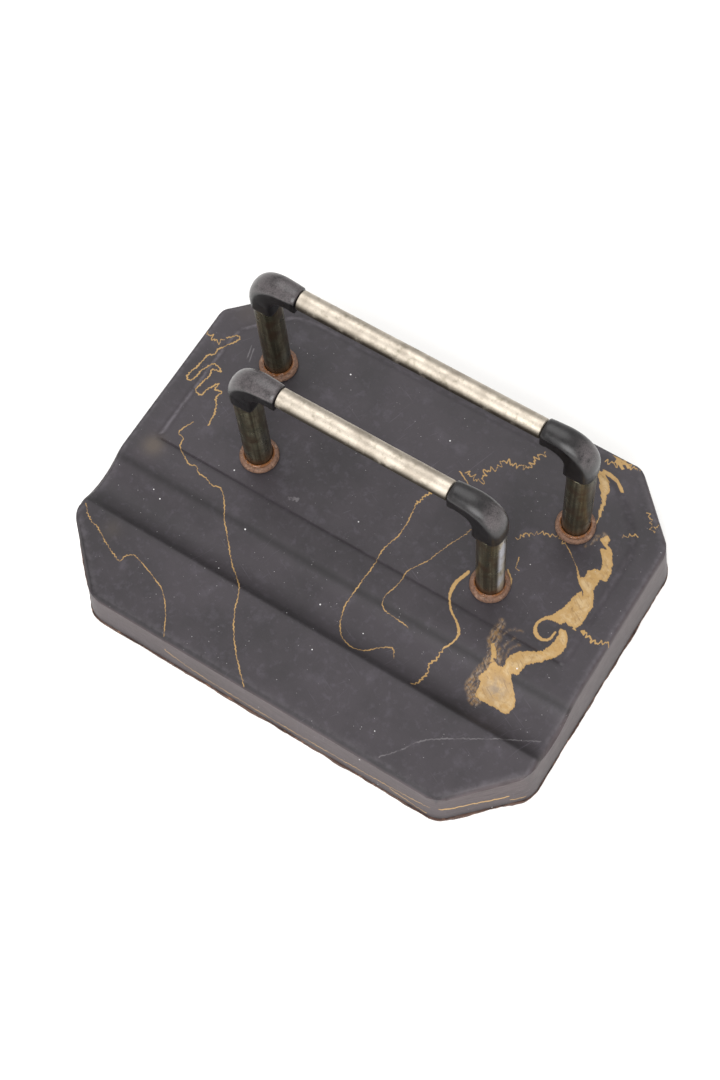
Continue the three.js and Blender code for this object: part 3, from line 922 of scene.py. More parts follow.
GHOSTS = (
    hair(
        0.1, (42.5, -61), (47, -56), (50, -51.5), (54, -48), (61, -43.7), (70, -38.5), (82, -31),
        frill=0.12, seed=65,
    ),
    hair(0.14, (-66.9, 35.3), (-65.4, 30), frill=0.03, seed=67),
    hair(0.1, (-68.2, 36), (-66.8, 31), frill=0.03, seed=69),
    hair(0.12, (-57, 24.6), (-56.1, 26.8), frill=0.05, seed=73),
    hair(0.3, (-27, -4.5), (-25.4, -3.4), (-24.2, -3.6), frill=0.4, frill_mm=1, seed=75),
)


def depth_in(points: np.ndarray, lines: list, flows: tuple = ()) -> np.ndarray:
    """How deep each point lies inside the gold, negative outside it.

    Args:
        points: Rows of X, Y and Z.
        lines: Strokes as rows of X, Y, Z and half width.
        flows: The wide flows.

    Returns:
        The depth at each point, in millimetres, no lower than -FAR.
    """
    depth = np.full(len(points), -FAR)
    for line in lines:
        low = line[:, :3].min(axis=0) - SEARCH
        high = line[:, :3].max(axis=0) + SEARCH
        near = np.flatnonzero(np.all((points > low) & (points < high), axis=1))
        for a, b in zip(line, line[1:]):
            close = near[np.abs(points[near] - (a[:3] + b[:3]) / 2).max(axis=1) < SEARCH]
            if close.size == 0:
                continue
            way = b[:3] - a[:3]
            part = np.clip((points[close] - a[:3]) @ way / max(way @ way, 1e-9), 0, 1)
            gap = np.linalg.norm(points[close] - a[:3] - part[:, None] * way, axis=1)
            depth[close] = np.maximum(depth[close], a[3] + (b[3] - a[3]) * part - gap)
    for flow in flows:
        depth = np.maximum(depth, flow.depth(points))
    return depth


# ---------------------------------------------------------------- the base

EIGHTH_TURN = 45.0
SIDE_WAYS = ((1, 0), (-1, 0), (0, 1), (0, -1))
CLIP_WAYS = ((1, 1), (1, -1), (-1, 1), (-1, -1))


@dataclass
class TopShape:
    """The height of the base's top: front slope, ridge, pen groove, lip, plateau and raised panel."""

    half_length: float
    half_width: float
    clip: float = 20.5
    front_z: float = 17.0
    ridge_z: float = 20.2
    plateau_z: float = 21.6
    ridge_y: float = -37.6
    groove_back_y: float = -19.0
    groove_depth: float = 3.3
    lip_slope: float = math.radians(39)
    panel_rise: float = 1.0
    panel_front_y: float = -7.8
    panel_back_y: float = 54.5
    panel_half_length: float = 76.3
    panel_clip: float = 15.2
    panel_soft_edge: float = 2.0
    panel_blend: float = 1.6
    panel_apron: float = 0.6
    step_width: float = 0.45
    edge_round: float = 1.1
    easing: tuple = (-0.5, -0.25, 0.0, 0.25, 0.5)

    def profile(self, y: np.ndarray) -> np.ndarray:
        """The height along the front-to-back line, before the panel and the rounded edge."""
        half = (self.groove_back_y - self.ridge_y) / 2
        radius = (half**2 + self.groove_depth**2) / (2 * self.groove_depth)
        middle = (self.groove_back_y + self.ridge_y) / 2
        lip = (self.plateau_z - self.ridge_z) / (1 - math.cos(self.lip_slope))
        lip_end = self.groove_back_y + lip * math.sin(self.lip_slope)
        rise = (self.ridge_z - self.front_z) / (self.half_width + self.ridge_y)
        slope = self.front_z + (y + self.half_width) * rise
        sag = np.sqrt(np.maximum(radius**2 - (y - middle) ** 2, 0))
        groove = self.ridge_z - self.groove_depth + radius - sag
        over = np.sqrt(np.maximum(lip**2 - (lip_end - y) ** 2, 0))
        shoulder = self.plateau_z - lip + over
        ends = [y < self.ridge_y, y < self.groove_back_y, y < lip_end]
        return np.select(ends, [slope, groove, shoulder], self.plateau_z)

    def inside(self, x: np.ndarray, y: np.ndarray) -> np.ndarray:
        """How far a point lies inside the base's eight sides."""
        corner = self.half_length + self.half_width - self.clip
        slant = (corner - np.abs(x) - np.abs(y)) / math.sqrt(2)
        return np.minimum(np.minimum(self.half_length - np.abs(x), self.half_width - np.abs(y)), slant)

    def panel(self, x: np.ndarray, y: np.ndarray) -> np.ndarray:
        """How far the panel rises at a point: soft at the ends and back, a clean step in front."""
        corner = self.panel_half_length + self.panel_back_y - self.panel_clip
        gaps = (
            self.panel_half_length - np.abs(x),
            self.panel_back_y - y,
            (corner - np.abs(x) - y) / math.sqrt(2),
        )
        blend = self.panel_blend
        together = -blend * np.log(sum(np.exp(-np.clip(g, -30, 60) / blend) for g in gaps))
        front = ramp((y - self.panel_front_y + self.step_width / 2) / self.step_width)
        return self.panel_rise * ramp((together + self.panel_apron) / self.panel_soft_edge) * front

    def height(self, x: np.ndarray, y: np.ndarray) -> np.ndarray:
        """The top's height, with the ridge eased and the rim rounded."""
        eased = sum(self.profile(y + shift) for shift in self.easing) / len(self.easing)
        near_rim = np.clip(self.edge_round - self.inside(x, y), 0, self.edge_round)
        drop = self.edge_round - np.sqrt(self.edge_round**2 - near_rim**2)
        return eased + self.panel(x, y) - drop


@dataclass
class Base:
    """The moulded body and the board under it."""

    draft: float = 2.0
    wall: float = 4.2
    ceiling_z: float = 12.4
    boss_radius: float = 8.0
    boss_foot_z: float = 7.2
    rib_thick: float = 2.4
    cell: float = 1.15
    corner_round: float = 9.0
    wall_rows: int = 16
    rim_lines: tuple = (0.12, 0.35, 0.7, 1.1)
    ridge_lines: tuple = (-0.4, 0.0, 0.4)
    refining: tuple = ((0.95, 2), (0.34, 1))
    board_proud: float = 0.7
    chip_in: float = 0.8
    chip_out: float = 0.3
    gold_spread: float = 0.03
    torn_reach: float = 1.5
    foot_shade_height: float = 3.2
    ashen_spot: tuple = (62.0, -23.6, 3.4, 0.85)
    stains: tuple = ((-75.8, -10.9, 3.2, 0.75), (-71, -42, 3.0, 0.2), (-76, 47, 5.0, 0.2))
    top: TopShape = field(init=False)
    foot_z: float = field(init=False)
    posts: list = field(init=False)

    def __post_init__(self) -> None:
        """Takes the base's size and the posts' places from the frame."""
        low, high = box_mm("base_body")
        self.foot_z = low.z
        self.top = TopShape(high.x - self.draft, high.y - self.draft)
        corners = [box_mm(f"post_{place}") for place in PLACES]
        self.posts = [(a + b) / 2 for a, b in corners]

    def build(self) -> None:
        """Makes both pieces."""
        self.body()
        self.board()

    def outline(self) -> list:
        """The rounded eight-sided outline at the plateau's height, as (x, y) points anticlockwise."""
        t = self.top
        spots = ((t.half_length, t.half_width - t.clip), (t.half_length - t.clip, t.half_width))
        points = []
        for number in range(8):
            angle = EIGHTH_TURN * (number + 0.5)
            bisector = Vector((math.cos(math.radians(angle)), math.sin(math.radians(angle))))
            x, y = spots[(number + 1) // 2 % 2]
            centre = Vector((math.copysign(x, bisector.x), math.copysign(y, bisector.y)))
            centre -= bisector * self.corner_reach()
            for third in range(-3, 4):
                a = math.radians(angle + EIGHTH_TURN * third / 6)
                points.append(centre + Vector((math.cos(a), math.sin(a))) * self.corner_round)
        return points

    def corner_reach(self) -> float:
        """How far the centre of a corner's round lies inside its sharp point."""
        return self.corner_round / math.cos(math.radians(EIGHTH_TURN / 2))

    def moved_out(self, x: float, y: float, gap: float) -> tuple[float, float]:
        """Moves a point of the outline outwards with the side that it lies on.

        Args:
            x: The point's X on the outline.
            y: The point's Y on the outline.
            gap: How far out, in millimetres, or in where negative.

        Returns:
            The moved point.
        """
        long_half = self.top.half_length - self.top.clip
        wide_half = self.top.half_width - self.top.clip
        slide = gap * (math.sqrt(2) - 1)
        past_x = abs(x) - long_half
        past_y = abs(y) - wide_half
        if past_x <= 1e-4:
            return x * (1 + slide / long_half), y + gap * math.copysign(1, y)
        if past_y <= 1e-4:
            return x + gap * math.copysign(1, x), y * (1 + slide / wide_half)
        part = past_x / self.top.clip
        out_x = abs(x) + slide + (gap - slide) * part
        out_y = abs(y) + gap + (slide - gap) * part
        return math.copysign(out_x, x), math.copysign(out_y, y)

    def wall_gap(self, z: float) -> float:
        """How far out the drafted wall stands at a height."""
        return self.draft * (self.top.plateau_z - z) / (self.top.plateau_z - self.foot_z)

    def draped(self, stroke: Stroke) -> np.ndarray:
        """Lays a stroke on the top, as rows of X, Y, Z and half width."""
        line = stroke.curve()
        z = self.top.height(line[:, 0], line[:, 1])
        return np.column_stack([line[:, :2], z, line[:, 2]])

    def wall_veins(self) -> list:
        """The veins in the front wall and the front right clip, from one height to the next."""
        t = self.top
        lines = []
        for half, *route in WALL_VEINS:
            rows = []
            for along, z, wide in hair(half, *route, frill=0.22, frill_mm=2.6, seed=len(lines)).curve():
                edge_y = -min(t.half_width, t.half_width + t.half_length - t.clip - along)
                rows.append((*self.moved_out(along, edge_y, self.wall_gap(z)), z, wide))
            lines.append(np.array(rows))
        return lines

    def sheet(self) -> Shape:
        """A fine flat sheet cut to the base's eight-sided outline, with lines where the top bends."""
        t = self.top
        shape = bmesh.new()
        size = Matrix.Diagonal((t.half_length, t.half_width, 1, 1))
        cells = [round(2 * half / self.cell) for half in (t.half_length, t.half_width)]
        bmesh.ops.create_grid(shape, x_segments=cells[0], y_segments=cells[1], size=1, matrix=size)
        step = t.step_width / 2
        bends = [t.ridge_y + shift for shift in self.ridge_lines]
        for y in (*bends, t.groove_back_y, t.panel_front_y - step, t.panel_front_y + step):
            self.cut(shape, Vector((0, y, 0)), Vector((0, 1, 0)))
        clip_reach = (t.half_length + t.half_width - t.clip) / math.sqrt(2)
        for way in CLIP_WAYS:
            normal = Vector((*way, 0)).normalized()
            self.cut(shape, normal * clip_reach, normal, outer=True)
        for inset in self.rim_lines:
            for way in SIDE_WAYS + CLIP_WAYS:
                normal = Vector((*way, 0)).normalized()
                reach = t.half_length if way[1] == 0 else t.half_width
                if way in CLIP_WAYS:
                    reach = clip_reach
                self.cut(shape, normal * (reach - inset), normal)
        self.ease_corners(shape)
        return shape

    def ease_corners(self, shape: Shape) -> None:
        """Rounds the eight upright corners with five short cuts each."""
        t = self.top
        corners = ((t.half_length, t.half_width - t.clip, 0.5), (t.half_length - t.clip, t.half_width, 1.5))
        for x, y, eighths in corners:
            for sx, sy in ((1, 1), (-1, 1), (-1, -1), (1, -1)):
                for lean in (0, -8, 8, -16, 16):
                    a = math.radians(EIGHTH_TURN * eighths + lean)
                    normal = Vector((sx * math.cos(a), sy * math.sin(a), 0))
                    trim = self.corner_reach() * math.cos(math.radians(lean)) - self.corner_round
                    self.cut(shape, Vector((sx * x, sy * y, 0)) - normal * trim, normal, outer=True)

    def cut(self, shape: Shape, place: Vector, normal: Vector, outer: bool = False) -> None:
        """Cuts a line through the sheet, and takes away what lies past it where outer is true."""
        everything = [*shape.verts, *shape.edges, *shape.faces]
        plane = dict(plane_co=place, plane_no=normal, clear_outer=outer)
        bmesh.ops.bisect_plane(shape, geom=everything, dist=1e-3, **plane)

    def refine(self, shape: Shape, lines: list, flows: tuple, height: bool) -> None:
        """Cuts the faces near a vein's edge finer, so that the vein stays crisp.

        Args:
            shape: The sheet, or the body with its walls.
            lines: The veins as rows of X, Y, Z and half width.
            flows: The wide flows that it carries.
            height: Whether the shape has its heights yet.
        """
        for reach, cuts in self.refining:
            middles = np.array([f.calc_center_median()[:] for f in shape.faces])
            if not height:
                middles[:, 2] = self.top.height(middles[:, 0], middles[:, 1])
            near = np.abs(depth_in(middles, lines, flows)) < reach
            edges = {e for f, hit in zip(shape.faces, near) if hit for e in f.edges}
            bmesh.ops.subdivide_edges(shape, edges=list(edges), cuts=cuts, use_grid_fill=True)

    def walls(self, shape: Shape) -> None:
        """Draws the sheet's rim down into drafted walls."""
        start = shape.verts.layers.float_vector.new("start")
        ring = [e for e in shape.edges if e.is_boundary]
        for v in {v for e in ring for v in e.verts}:
            v[start] = v.co
            v.co.xy = self.moved_out(v.co.x, v.co.y, self.wall_gap(v.co.z))
        for row in range(1, self.wall_rows + 1):
            fresh, ring = drawn_on(shape, ring)
            for v in fresh:
                x, y, z = v[start]
                v.co.z = z + (self.foot_z - z) * row / self.wall_rows
                v.co.xy = self.moved_out(x, y, self.wall_gap(v.co.z))

    def hollow(self, shape: Shape, ring: list) -> None:
        """Turns the lowest ring in under the walls, up the hollow and over its ceiling."""
        start = shape.verts.layers.float_vector["start"]
        for z in (self.foot_z, self.ceiling_z):
            fresh, ring = drawn_on(shape, ring)
            for v in fresh:
                v.co.xy = self.moved_out(v[start].x, v[start].y, -self.wall)
                v.co.z = z
        bmesh.ops.edgeloop_fill(shape, edges=ring)

    def bosses(self, shape: Shape) -> None:
        """Adds the bosses under the posts and the rib along each pair."""
        tall = self.ceiling_z + 1 - self.boss_foot_z
        z = self.boss_foot_z + tall / 2
        for post in self.posts:
            size = dict(segments=40, radius1=self.boss_radius, radius2=self.boss_radius, depth=tall)
            place = Matrix.Translation((post.x, post.y, z))
            bmesh.ops.create_cone(shape, cap_ends=True, matrix=place, **size)
        for left, right in (self.posts[:2], self.posts[2:]):
            span = Matrix.Diagonal((right.x - left.x, self.rib_thick, tall - 0.2, 1))
            bmesh.ops.create_cube(shape, size=1, matrix=Matrix.Translation((0, left.y, z)) @ span)

    def body(self) -> None:
        """Makes the marbled body: sheet, heights, walls, hollow and bosses, then its values."""
        shape = self.sheet()
        top_lines = [self.draped(s) for s in VEINS + SMOKE + GHOSTS]
        self.refine(shape, top_lines, FLOWS, height=False)
        flat = np.array([v.co[:2] for v in shape.verts])
        for v, z in zip(shape.verts, self.top.height(flat[:, 0], flat[:, 1])):
            v.co.z = z
        self.walls(shape)
        self.refine(shape, self.wall_veins(), (), height=True)
        ring = [e for e in shape.edges if e.is_boundary]
        self.settle(shape, ring)
        self.hollow(shape, ring)
        bmesh.ops.recalc_face_normals(shape, faces=shape.faces)
        self.bosses(shape)
        piece = make_piece("marbled_body", shape, Finish.RUBBER, "base_body")
        self.dress(piece)

    def settle(self, shape: Shape, ring: list) -> None:
        """Gives points that refining added on the lowest ring their own place on the outline."""
        start = shape.verts.layers.float_vector["start"]
        gap = self.wall_gap(self.foot_z)
        for v in {v for e in ring for v in e.verts}:
            v[start] = Vector((*self.moved_in(v.co.x, v.co.y, gap), v.co.z))

    def moved_in(self, x: float, y: float, gap: float) -> tuple[float, float]:
        """Finds the outline's point that moving out by a gap would bring to (x, y)."""
        back = (x, y)
        for _ in range(4):
            out = self.moved_out(*back, gap)
            back = (back[0] + x - out[0], back[1] + y - out[1])
        return back

    def dress(self, piece: Piece) -> None:
        """Gives the body's points the values that its finish reads."""
        p = points_of(piece)
        inside = self.top.inside(p[:, 0], p[:, 1])
        on_wall = ramp((0.15 - inside) / 0.5)
        self.gild(piece, p)
        self.paint_wall_sheen(piece, p, inside, on_wall)
        self.shade_and_stain(piece, p, inside, on_wall)
        self.rub_and_highlight(piece, p, inside, on_wall)

    def gild(self, piece: Piece, p: np.ndarray) -> None:
        """Says where the gold lies, how torn its edge is, and where it turns grey or to smoke."""
        gold = depth_in(p, [self.draped(s) for s in VEINS] + self.wall_veins(), FLOWS)
        set_values(piece, "vein", gold + self.gold_spread)
        edges = [flow.torn * ramp((flow.depth(p) + self.torn_reach) / self.torn_reach) for flow in FLOWS]
        set_values(piece, "torn", np.maximum.reduce(edges))
        x, y, reach, share = self.ashen_spot
        set_values(piece, "ashen", share * bump(np.hypot(p[:, 0] - x, p[:, 1] - y), reach))
        set_values(piece, "smoke", ramp((depth_in(p, [self.draped(s) for s in SMOKE]) + 0.5) / 1.2))
        set_values(piece, "ghost", depth_in(p, [self.draped(s) for s in GHOSTS]))

    def right_end(self, p: np.ndarray) -> np.ndarray:
        """1 at the right end of the base, falling to 0 inwards."""
        return ramp((p[:, 0] - self.top.half_length + 23) / 12)

    def paint_wall_sheen(self, piece: Piece, p: np.ndarray, inside: np.ndarray, on_wall: np.ndarray) -> None:
        """Says how much painted sheen the walls get: more towards their top and at the right end, and a
        painted highlight along the right end's rim.
        """
        part = np.clip((p[:, 2] - self.foot_z) / (self.top.front_z - self.foot_z), 0, 1)
        right = self.right_end(p)
        # Painted highlight along the top edge of the right end's rim.
        rim = 0.6 * right * bump(inside - 0.2, 0.6) * (1 - on_wall)
        set_values(piece, "wall", on_wall * (0.45 + 0.45 * part) * (1 + 0.25 * right) + rim)

    def shade_and_stain(self, piece: Piece, p: np.ndarray, inside: np.ndarray, on_wall: np.ndarray) -> None:
        """Says where painted shade lies: in the creases, along the front rim and at the walls' foot; and
        where stains lie, in spots.
        """
        t = self.top
        x, y = p[:, 0], p[:, 1]
        # Painted shade below the ridge, along the groove's lip and at the panel's front step.
        across = (
            0.45 * bump(y - t.ridge_y - 1.0, 1.5)
            + 0.14 * bump(y - t.ridge_y - 3.5, 3.5)
            + 0.56 * bump(y - t.groove_back_y + 0.1, 1.4)
            + 0.3 * bump(y - t.panel_front_y + 0.4, 0.7) * (np.abs(x) < t.panel_half_length)
        )
        # Painted shade line along the front-facing rim.
        facing_front = ramp((-y - 40 - 0.3 * np.maximum(0, -x - 60)) / 6)
        rim = 0.5 * bump(inside - 0.6, 0.7) * facing_front * (1 - self.right_end(p))
        # Painted shade, darker towards the walls' foot.
        low = 0.45 * on_wall * ramp((self.foot_z + self.foot_shade_height - p[:, 2]) / self.foot_shade_height)
        set_values(piece, "painted_shade", np.clip((across + rim) * (1 - on_wall) + low, 0, 0.85))
        stain = sum(a * bump(np.hypot(x - at_x, y - at_y), reach) for at_x, at_y, reach, a in self.stains)
        set_values(piece, "stain", np.clip(stain * (1 - on_wall), 0, 0.6))

    def rub_and_highlight(self, piece: Piece, p: np.ndarray, inside: np.ndarray, on_wall: np.ndarray) -> None:
        """Says where the black is paler: wear with a painted highlight on the panel's soft edge, mostly at
        the lit left side, and a painted highlight along the rim's shoulder.
        """
        x, y = p[:, 0], p[:, 1]
        rise = self.top.panel(x, y) / self.top.panel_rise
        lit_side = 0.25 + 0.75 * ramp((-x - 30) / 40)
        slope = np.clip(rise * (1 - rise) * 4, 0, 1) ** 0.6
        edge = 0.75 * slope * lit_side * (y > self.top.panel_front_y + 2)
        # Painted highlight along the rim's shoulder.
        shoulder = 0.3 * bump(inside - 1.2, 0.8)
        set_values(piece, "rubbed", np.clip((edge + shoulder) * (1 - on_wall), 0, 1))

    def board(self) -> None:
        """Makes the board: the outline with a chipped edge, drawn up from the table."""
        low, high = box_mm("bottom_board")
        inset = high.x - self.top.half_length + self.board_proud
        shape = bmesh.new()
        ring = [shape.verts.new((*self.moved_out(x, y, inset), low.z)) for x, y in self.outline()]
        shape.faces.new(ring)
        long_edges = [e for e in shape.edges if e.calc_length() > 5]
        bmesh.ops.subdivide_edges(shape, edges=long_edges, cuts=100)
        made = bmesh.ops.extrude_face_region(shape, geom=shape.faces[:])["geom"]
        bmesh.ops.translate(shape, vec=(0, 0, high.z - low.z), verts=points_in(made))
        uprights = [e for e in shape.edges if abs(e.verts[0].co.z - e.verts[1].co.z) > 1e-3]
        bmesh.ops.subdivide_edges(shape, edges=uprights, cuts=2)
        for v in shape.verts:
            chip = noise.noise(Vector((v.co.x, v.co.y, 3 * v.co.z)) * 0.12) + 0.3 * noise.noise(v.co * 0.6)
            v.co.xy += v.co.xy.normalized() * max(-self.chip_in, min(self.chip_out, 0.6 * chip))
        bmesh.ops.recalc_face_normals(shape, faces=shape.faces)
        make_piece("fibre_board", shape, Finish.BOARD, "bottom_board", 50)


# ---------------------------------------------------------------- posts, collars and rails

TUBE_STEPS = 72
COLLAR_STEPS = 96


def turned(shape: Shape, profile: list, centre: Vector, steps: int) -> None:
    """Spins a closed profile into a ring round an upright axis.

    Args:
        shape: The bmesh that it is added to.
        profile: Corners as (radius, height), in millimetres.
        centre: A point of the axis.
        steps: How many steps make the full turn.
    """
    verts = [shape.verts.new((centre.x + r, centre.y, z)) for r, z in profile]
    edges = [shape.edges.new(pair) for pair in zip(verts, verts[1:] + verts[:1])]
    geom = [*verts, *edges]
    turn = dict(axis=(0, 0, 1), angle=2 * math.pi, steps=steps, use_merge=True)
    bmesh.ops.spin(shape, geom=geom, cent=(centre.x, centre.y, 0), **turn)
    bmesh.ops.remove_doubles(shape, verts=shape.verts, dist=1e-4)
    bmesh.ops.recalc_face_normals(shape, faces=shape.faces)


def tube_profile(inner: float, outer: float, low: float, high: float, ease: float, rows: int) -> list:
    """The closed profile of a tube's wall with eased ends.

    Args:
        inner: The bore's radius, in millimetres.
        outer: The outer radius.
        low: The height of one end.
        high: The height of the other end.
        ease: How far the outer edges are eased.
        rows: How many rows the outside has, for dents to show.

    Returns:
        Corners as (radius, height).
    """
    outside = [(outer, low + (high - low) * i / rows) for i in range(1, rows)]
    foot = [(inner, low), (outer - ease, low), (outer, low + ease)]
    return foot + outside + [(outer, high - ease), (outer - ease, high), (inner, high)]


@dataclass
class Column:
    """A post and the collar round its foot."""

    place: str
    wall: float = 0.9
    end_ease: float = 0.25
    rows: int = 24
    fit: float = 0.15
    flat: float = 0.55
    swell: float = 0.2
    shoulder: float = 0.38
    crust: float = 0.1
    meniscus: float = 0.8
    highlight_angle: float = math.radians(-11)
    highlight_half_angle: float = math.radians(17)
    highlight_share_elsewhere: float = 0.1

    def build(self) -> None:
        """Makes both pieces."""
        self.post()
        self.collar()

    def post(self) -> None:
        """Makes the tube: a spun wall with eased ends, faintly dented along its length."""
        low, high = box_mm(f"post_{self.place}")
        centre = (low + high) / 2
        outer = (high.x - low.x) / 2
        shape = bmesh.new()
        profile = tube_profile(outer - self.wall, outer, low.z, high.z, self.end_ease, self.rows)
        turned(shape, profile, centre, TUBE_STEPS)
        dented(shape, centre, axis=2, depth=0.05, fineness=0.12)
        piece = make_piece(f"post_tube_{self.place}", shape, Finish.TARNISH, f"post_{self.place}")
        p = points_of(piece)
        set_values(piece, "foot", 0.75 * ramp(1 - (p[:, 2] - low.z - 1.5) / 7.0))
        # Painted highlight band on the post's right side: full on the front right post, faint on the others.
        angle = np.arctan2(p[:, 1] - centre.y, p[:, 0] - centre.x) - self.highlight_angle
        share = 1.0 if self.place == "front_right" else self.highlight_share_elsewhere
        set_values(piece, "painted_highlight", share * ramp(1.6 - np.abs(angle) / self.highlight_half_angle))

    def collar(self) -> None:
        """Makes the collar: a low crusted cone with a ring of lacquer drawn up the post."""
        low, high = box_mm(f"collar_{self.place}")
        centre = (low + high) / 2
        outer = (high.x - low.x) / 2
        post_low, post_high = box_mm(f"post_{self.place}")
        inner = (post_high.x - post_low.x) / 2 + self.fit
        shoulder = low.z + self.shoulder * (high.z - low.z)
        slope_end = inner + self.flat
        peak = high.z + self.swell
        profile = [(inner, low.z), (outer - 0.15, low.z), (outer, low.z + 0.2)]
        for i in range(9):
            a = math.pi / 2 * i / 8
            r = outer - (outer - slope_end) * (1 - math.cos(a))
            profile.append((r, shoulder + (peak - shoulder) * math.sin(a)))
        for part in (0.3, 0.6, 0.85, 1.0):
            profile.append((slope_end - self.flat * part, peak + self.meniscus * part * part))
        shape = bmesh.new()
        turned(shape, profile, centre, COLLAR_STEPS)
        for v in shape.verts:
            out = Vector((v.co.x - centre.x, v.co.y - centre.y, 0))
            if v.co.z > low.z + 0.1 and out.length > inner + 0.05:
                lumps = noise.noise(v.co * 1.1) + 0.6 * noise.noise(v.co * 3.1)
                v.co += (out.normalized() + Vector((0, 0, 0.8))) * self.crust * lumps
        piece = make_piece(f"rust_collar_{self.place}", shape, Finish.RUST, f"collar_{self.place}", 60)
        p = points_of(piece)
        gap = np.hypot(p[:, 0] - centre.x, p[:, 1] - centre.y) - inner
        set_values(piece, "wet", ramp((0.75 - gap) / 0.4) * (p[:, 2] > high.z - 0.4))


@dataclass
class Rail:
    """One rail: a tube along X with eased ends and faint dents."""

    row: str
    wall: float = 0.8
    end_ease: float = 0.3
    rows: int = 48

    def build(self) -> None:
        """Makes the rail upright about the origin, then lays it along X at its place."""
        low, high = box_mm(f"rail_{self.row}")
        centre = (low + high) / 2
        outer = (high.z - low.z) / 2
        half = (high.x - low.x) / 2
        shape = bmesh.new()
        profile = tube_profile(outer - self.wall, outer, -half, half, self.end_ease, self.rows)
        turned(shape, profile, Vector((0, 0, 0)), TUBE_STEPS)
        lay = Matrix.Translation(centre) @ Matrix.Rotation(math.pi / 2, 4, "Y")
        bmesh.ops.transform(shape, matrix=lay, verts=shape.verts)
        dented(shape, centre, axis=0, depth=0.06, fineness=0.09)
        piece = make_piece(f"rail_tube_{self.row}", shape, Finish.SATIN, f"rail_{self.row}")
        # Painted shade: dark on the rail's underside, fainter along its back edge.
        normals = read_rows(piece, "normal")
        under = 0.95 * ramp((0.8 - normals[:, 2]) / 0.6) * (normals[:, 1] < 0)
        set_values(piece, "rail_shade", under + 0.32 * ramp((normals[:, 1] + 0.15) / 0.5))


# ---------------------------------------------------------------- elbows


@dataclass
class Elbow:
    """A pressed corner piece: a socket over the post, one big outer bend and an arm to the rail.

    Sections are drawn from the arm's end, round the bend, down to the foot.
    """

    place: str
    half_width: float = 4.75
    arm_half_width: float = 3.6
    half_length: float = 4.75
    rise: float = 3.6
    arm_low: float = 3.5
    corner: float = 12.0
    inner_bend: float = 4.0
    reach: float = 13.4
    drop: float = 12.5
    lip: float = 0.8
    crown: float = 1.5
    top_square: float = 5.0
    foot_square: float = 7.0
    segments: int = 72
    bend_steps: int = 14
    end_ease: float = 0.25
    arm_rings: tuple = ((0.0, 0.7), (0.25, 1.0), (1.5, 0.9), (2.3, 0.0))
    foot_rings: tuple = (3.0, 1.4, 0.25, 0.0)
    right_sheen_share: float = 0.15

    def sections(self) -> list:
        """Each section as its inner and outer point, in X and Z, and how far along the arm it is."""
        inner_at = Vector((self.half_length + self.inner_bend, -self.arm_low - self.inner_bend))
        outer_at = Vector((self.corner - self.half_length, self.rise - self.corner))
        made = []
        for back, lip in self.arm_rings:
            x = self.reach - back
            made.append((Vector((x, -self.arm_low - self.lip * lip)), Vector((x, self.rise)), x))
        for i in range(self.bend_steps + 1):
            part = i / self.bend_steps
            a = math.pi / 2 * part
            way = Vector((-math.sin(a), math.cos(a)))
            ends = (inner_at + way * self.inner_bend, outer_at + way * self.corner)
            made.append((*ends, inner_at.x * (1 - part)))
        for up in self.foot_rings:
            z = up - self.drop
            made.append((Vector((self.half_length, z)), Vector((-self.half_length, z)), 0.0))
        return made

    def place_ring(
        self, verts: list, angle: bmesh.types.BMLayerItem, section: tuple, ease: float = 0.0
    ) -> None:
        """Puts a ring's points round a section.

        Args:
            verts: The ring's points.
            angle: The layer that holds each point's angle round the ring.
            section: The section's inner point, outer point and how far along the arm it is.
            ease: How much smaller than full size the section is, in millimetres.
        """
        inner, outer, along = section
        middle = (inner + outer) / 2
        half = (outer - inner).length / 2 - ease
        way = (outer - inner).normalized()
        arm = min(1.0, along / self.reach)
        wide = self.half_width + (self.arm_half_width - self.half_width) * arm - ease
        for v in verts:
            c, s = math.cos(v[angle]), math.sin(v[angle])
            power = 2 / self.top_square if s > 0 else 2 / self.foot_square
            across = math.copysign(abs(c) ** power, c)
            up = math.copysign(abs(s) ** power, s)
            if s > 0:
                up *= 1 - self.crown / half * across * across
            at = middle + way * half * up
            v.co = Vector((at.x, wide * across, at.y))

    def build(self) -> None:
        """Draws the sections into one closed skin and puts it on its post."""
        post_low, post_high = box_mm(f"post_{self.place}")
        axis = (post_low + post_high) / 2
        rail_low, rail_high = box_mm(f"rail_{self.place.split('_')[0]}")
        shape = bmesh.new()
        angle = shape.verts.layers.float.new("angle")
        bmesh.ops.create_circle(shape, segments=self.segments, radius=1)
        for v in shape.verts:
            v[angle] = math.atan2(v.co.y, v.co.x)
        ring = shape.edges[:]
        first, *others = self.sections()
        self.place_ring(shape.verts[:], angle, first, self.end_ease)
        bmesh.ops.edgeloop_fill(shape, edges=ring)
        for section in others:
            fresh, ring = drawn_on(shape, ring)
            self.place_ring(fresh, angle, section)
        self.place_ring(fresh, angle, section, self.end_ease)
        bmesh.ops.edgeloop_fill(shape, edges=ring)
        side = 1 if axis.x < 0 else -1
        centre = Vector((axis.x, axis.y, (rail_low.z + rail_high.z) / 2))
        put = Matrix.Translation(centre) @ Matrix.Diagonal((side, 1, 1, 1))
        bmesh.ops.transform(shape, matrix=put, verts=shape.verts)
        bmesh.ops.recalc_face_normals(shape, faces=shape.faces)
        piece = make_piece(f"elbow_skin_{self.place}", shape, Finish.PHENOLIC, f"elbow_{self.place}", 50)
        # Dust with a painted sheen: on the tops, full on the left elbows; on the right ones mostly along the
        # outer bend.
        normals = read_rows(piece, "normal")
        top = ramp((normals[:, 2] - 0.12) / 0.4)
        bend = ramp((-side * normals[:, 0] - 0.3) / 0.35)
        share = 1.0 if side > 0 else self.right_sheen_share
        set_values(piece, "dust", top * (share + (1 - share) * bend))


# ---------------------------------------------------------------- hidden fasteners


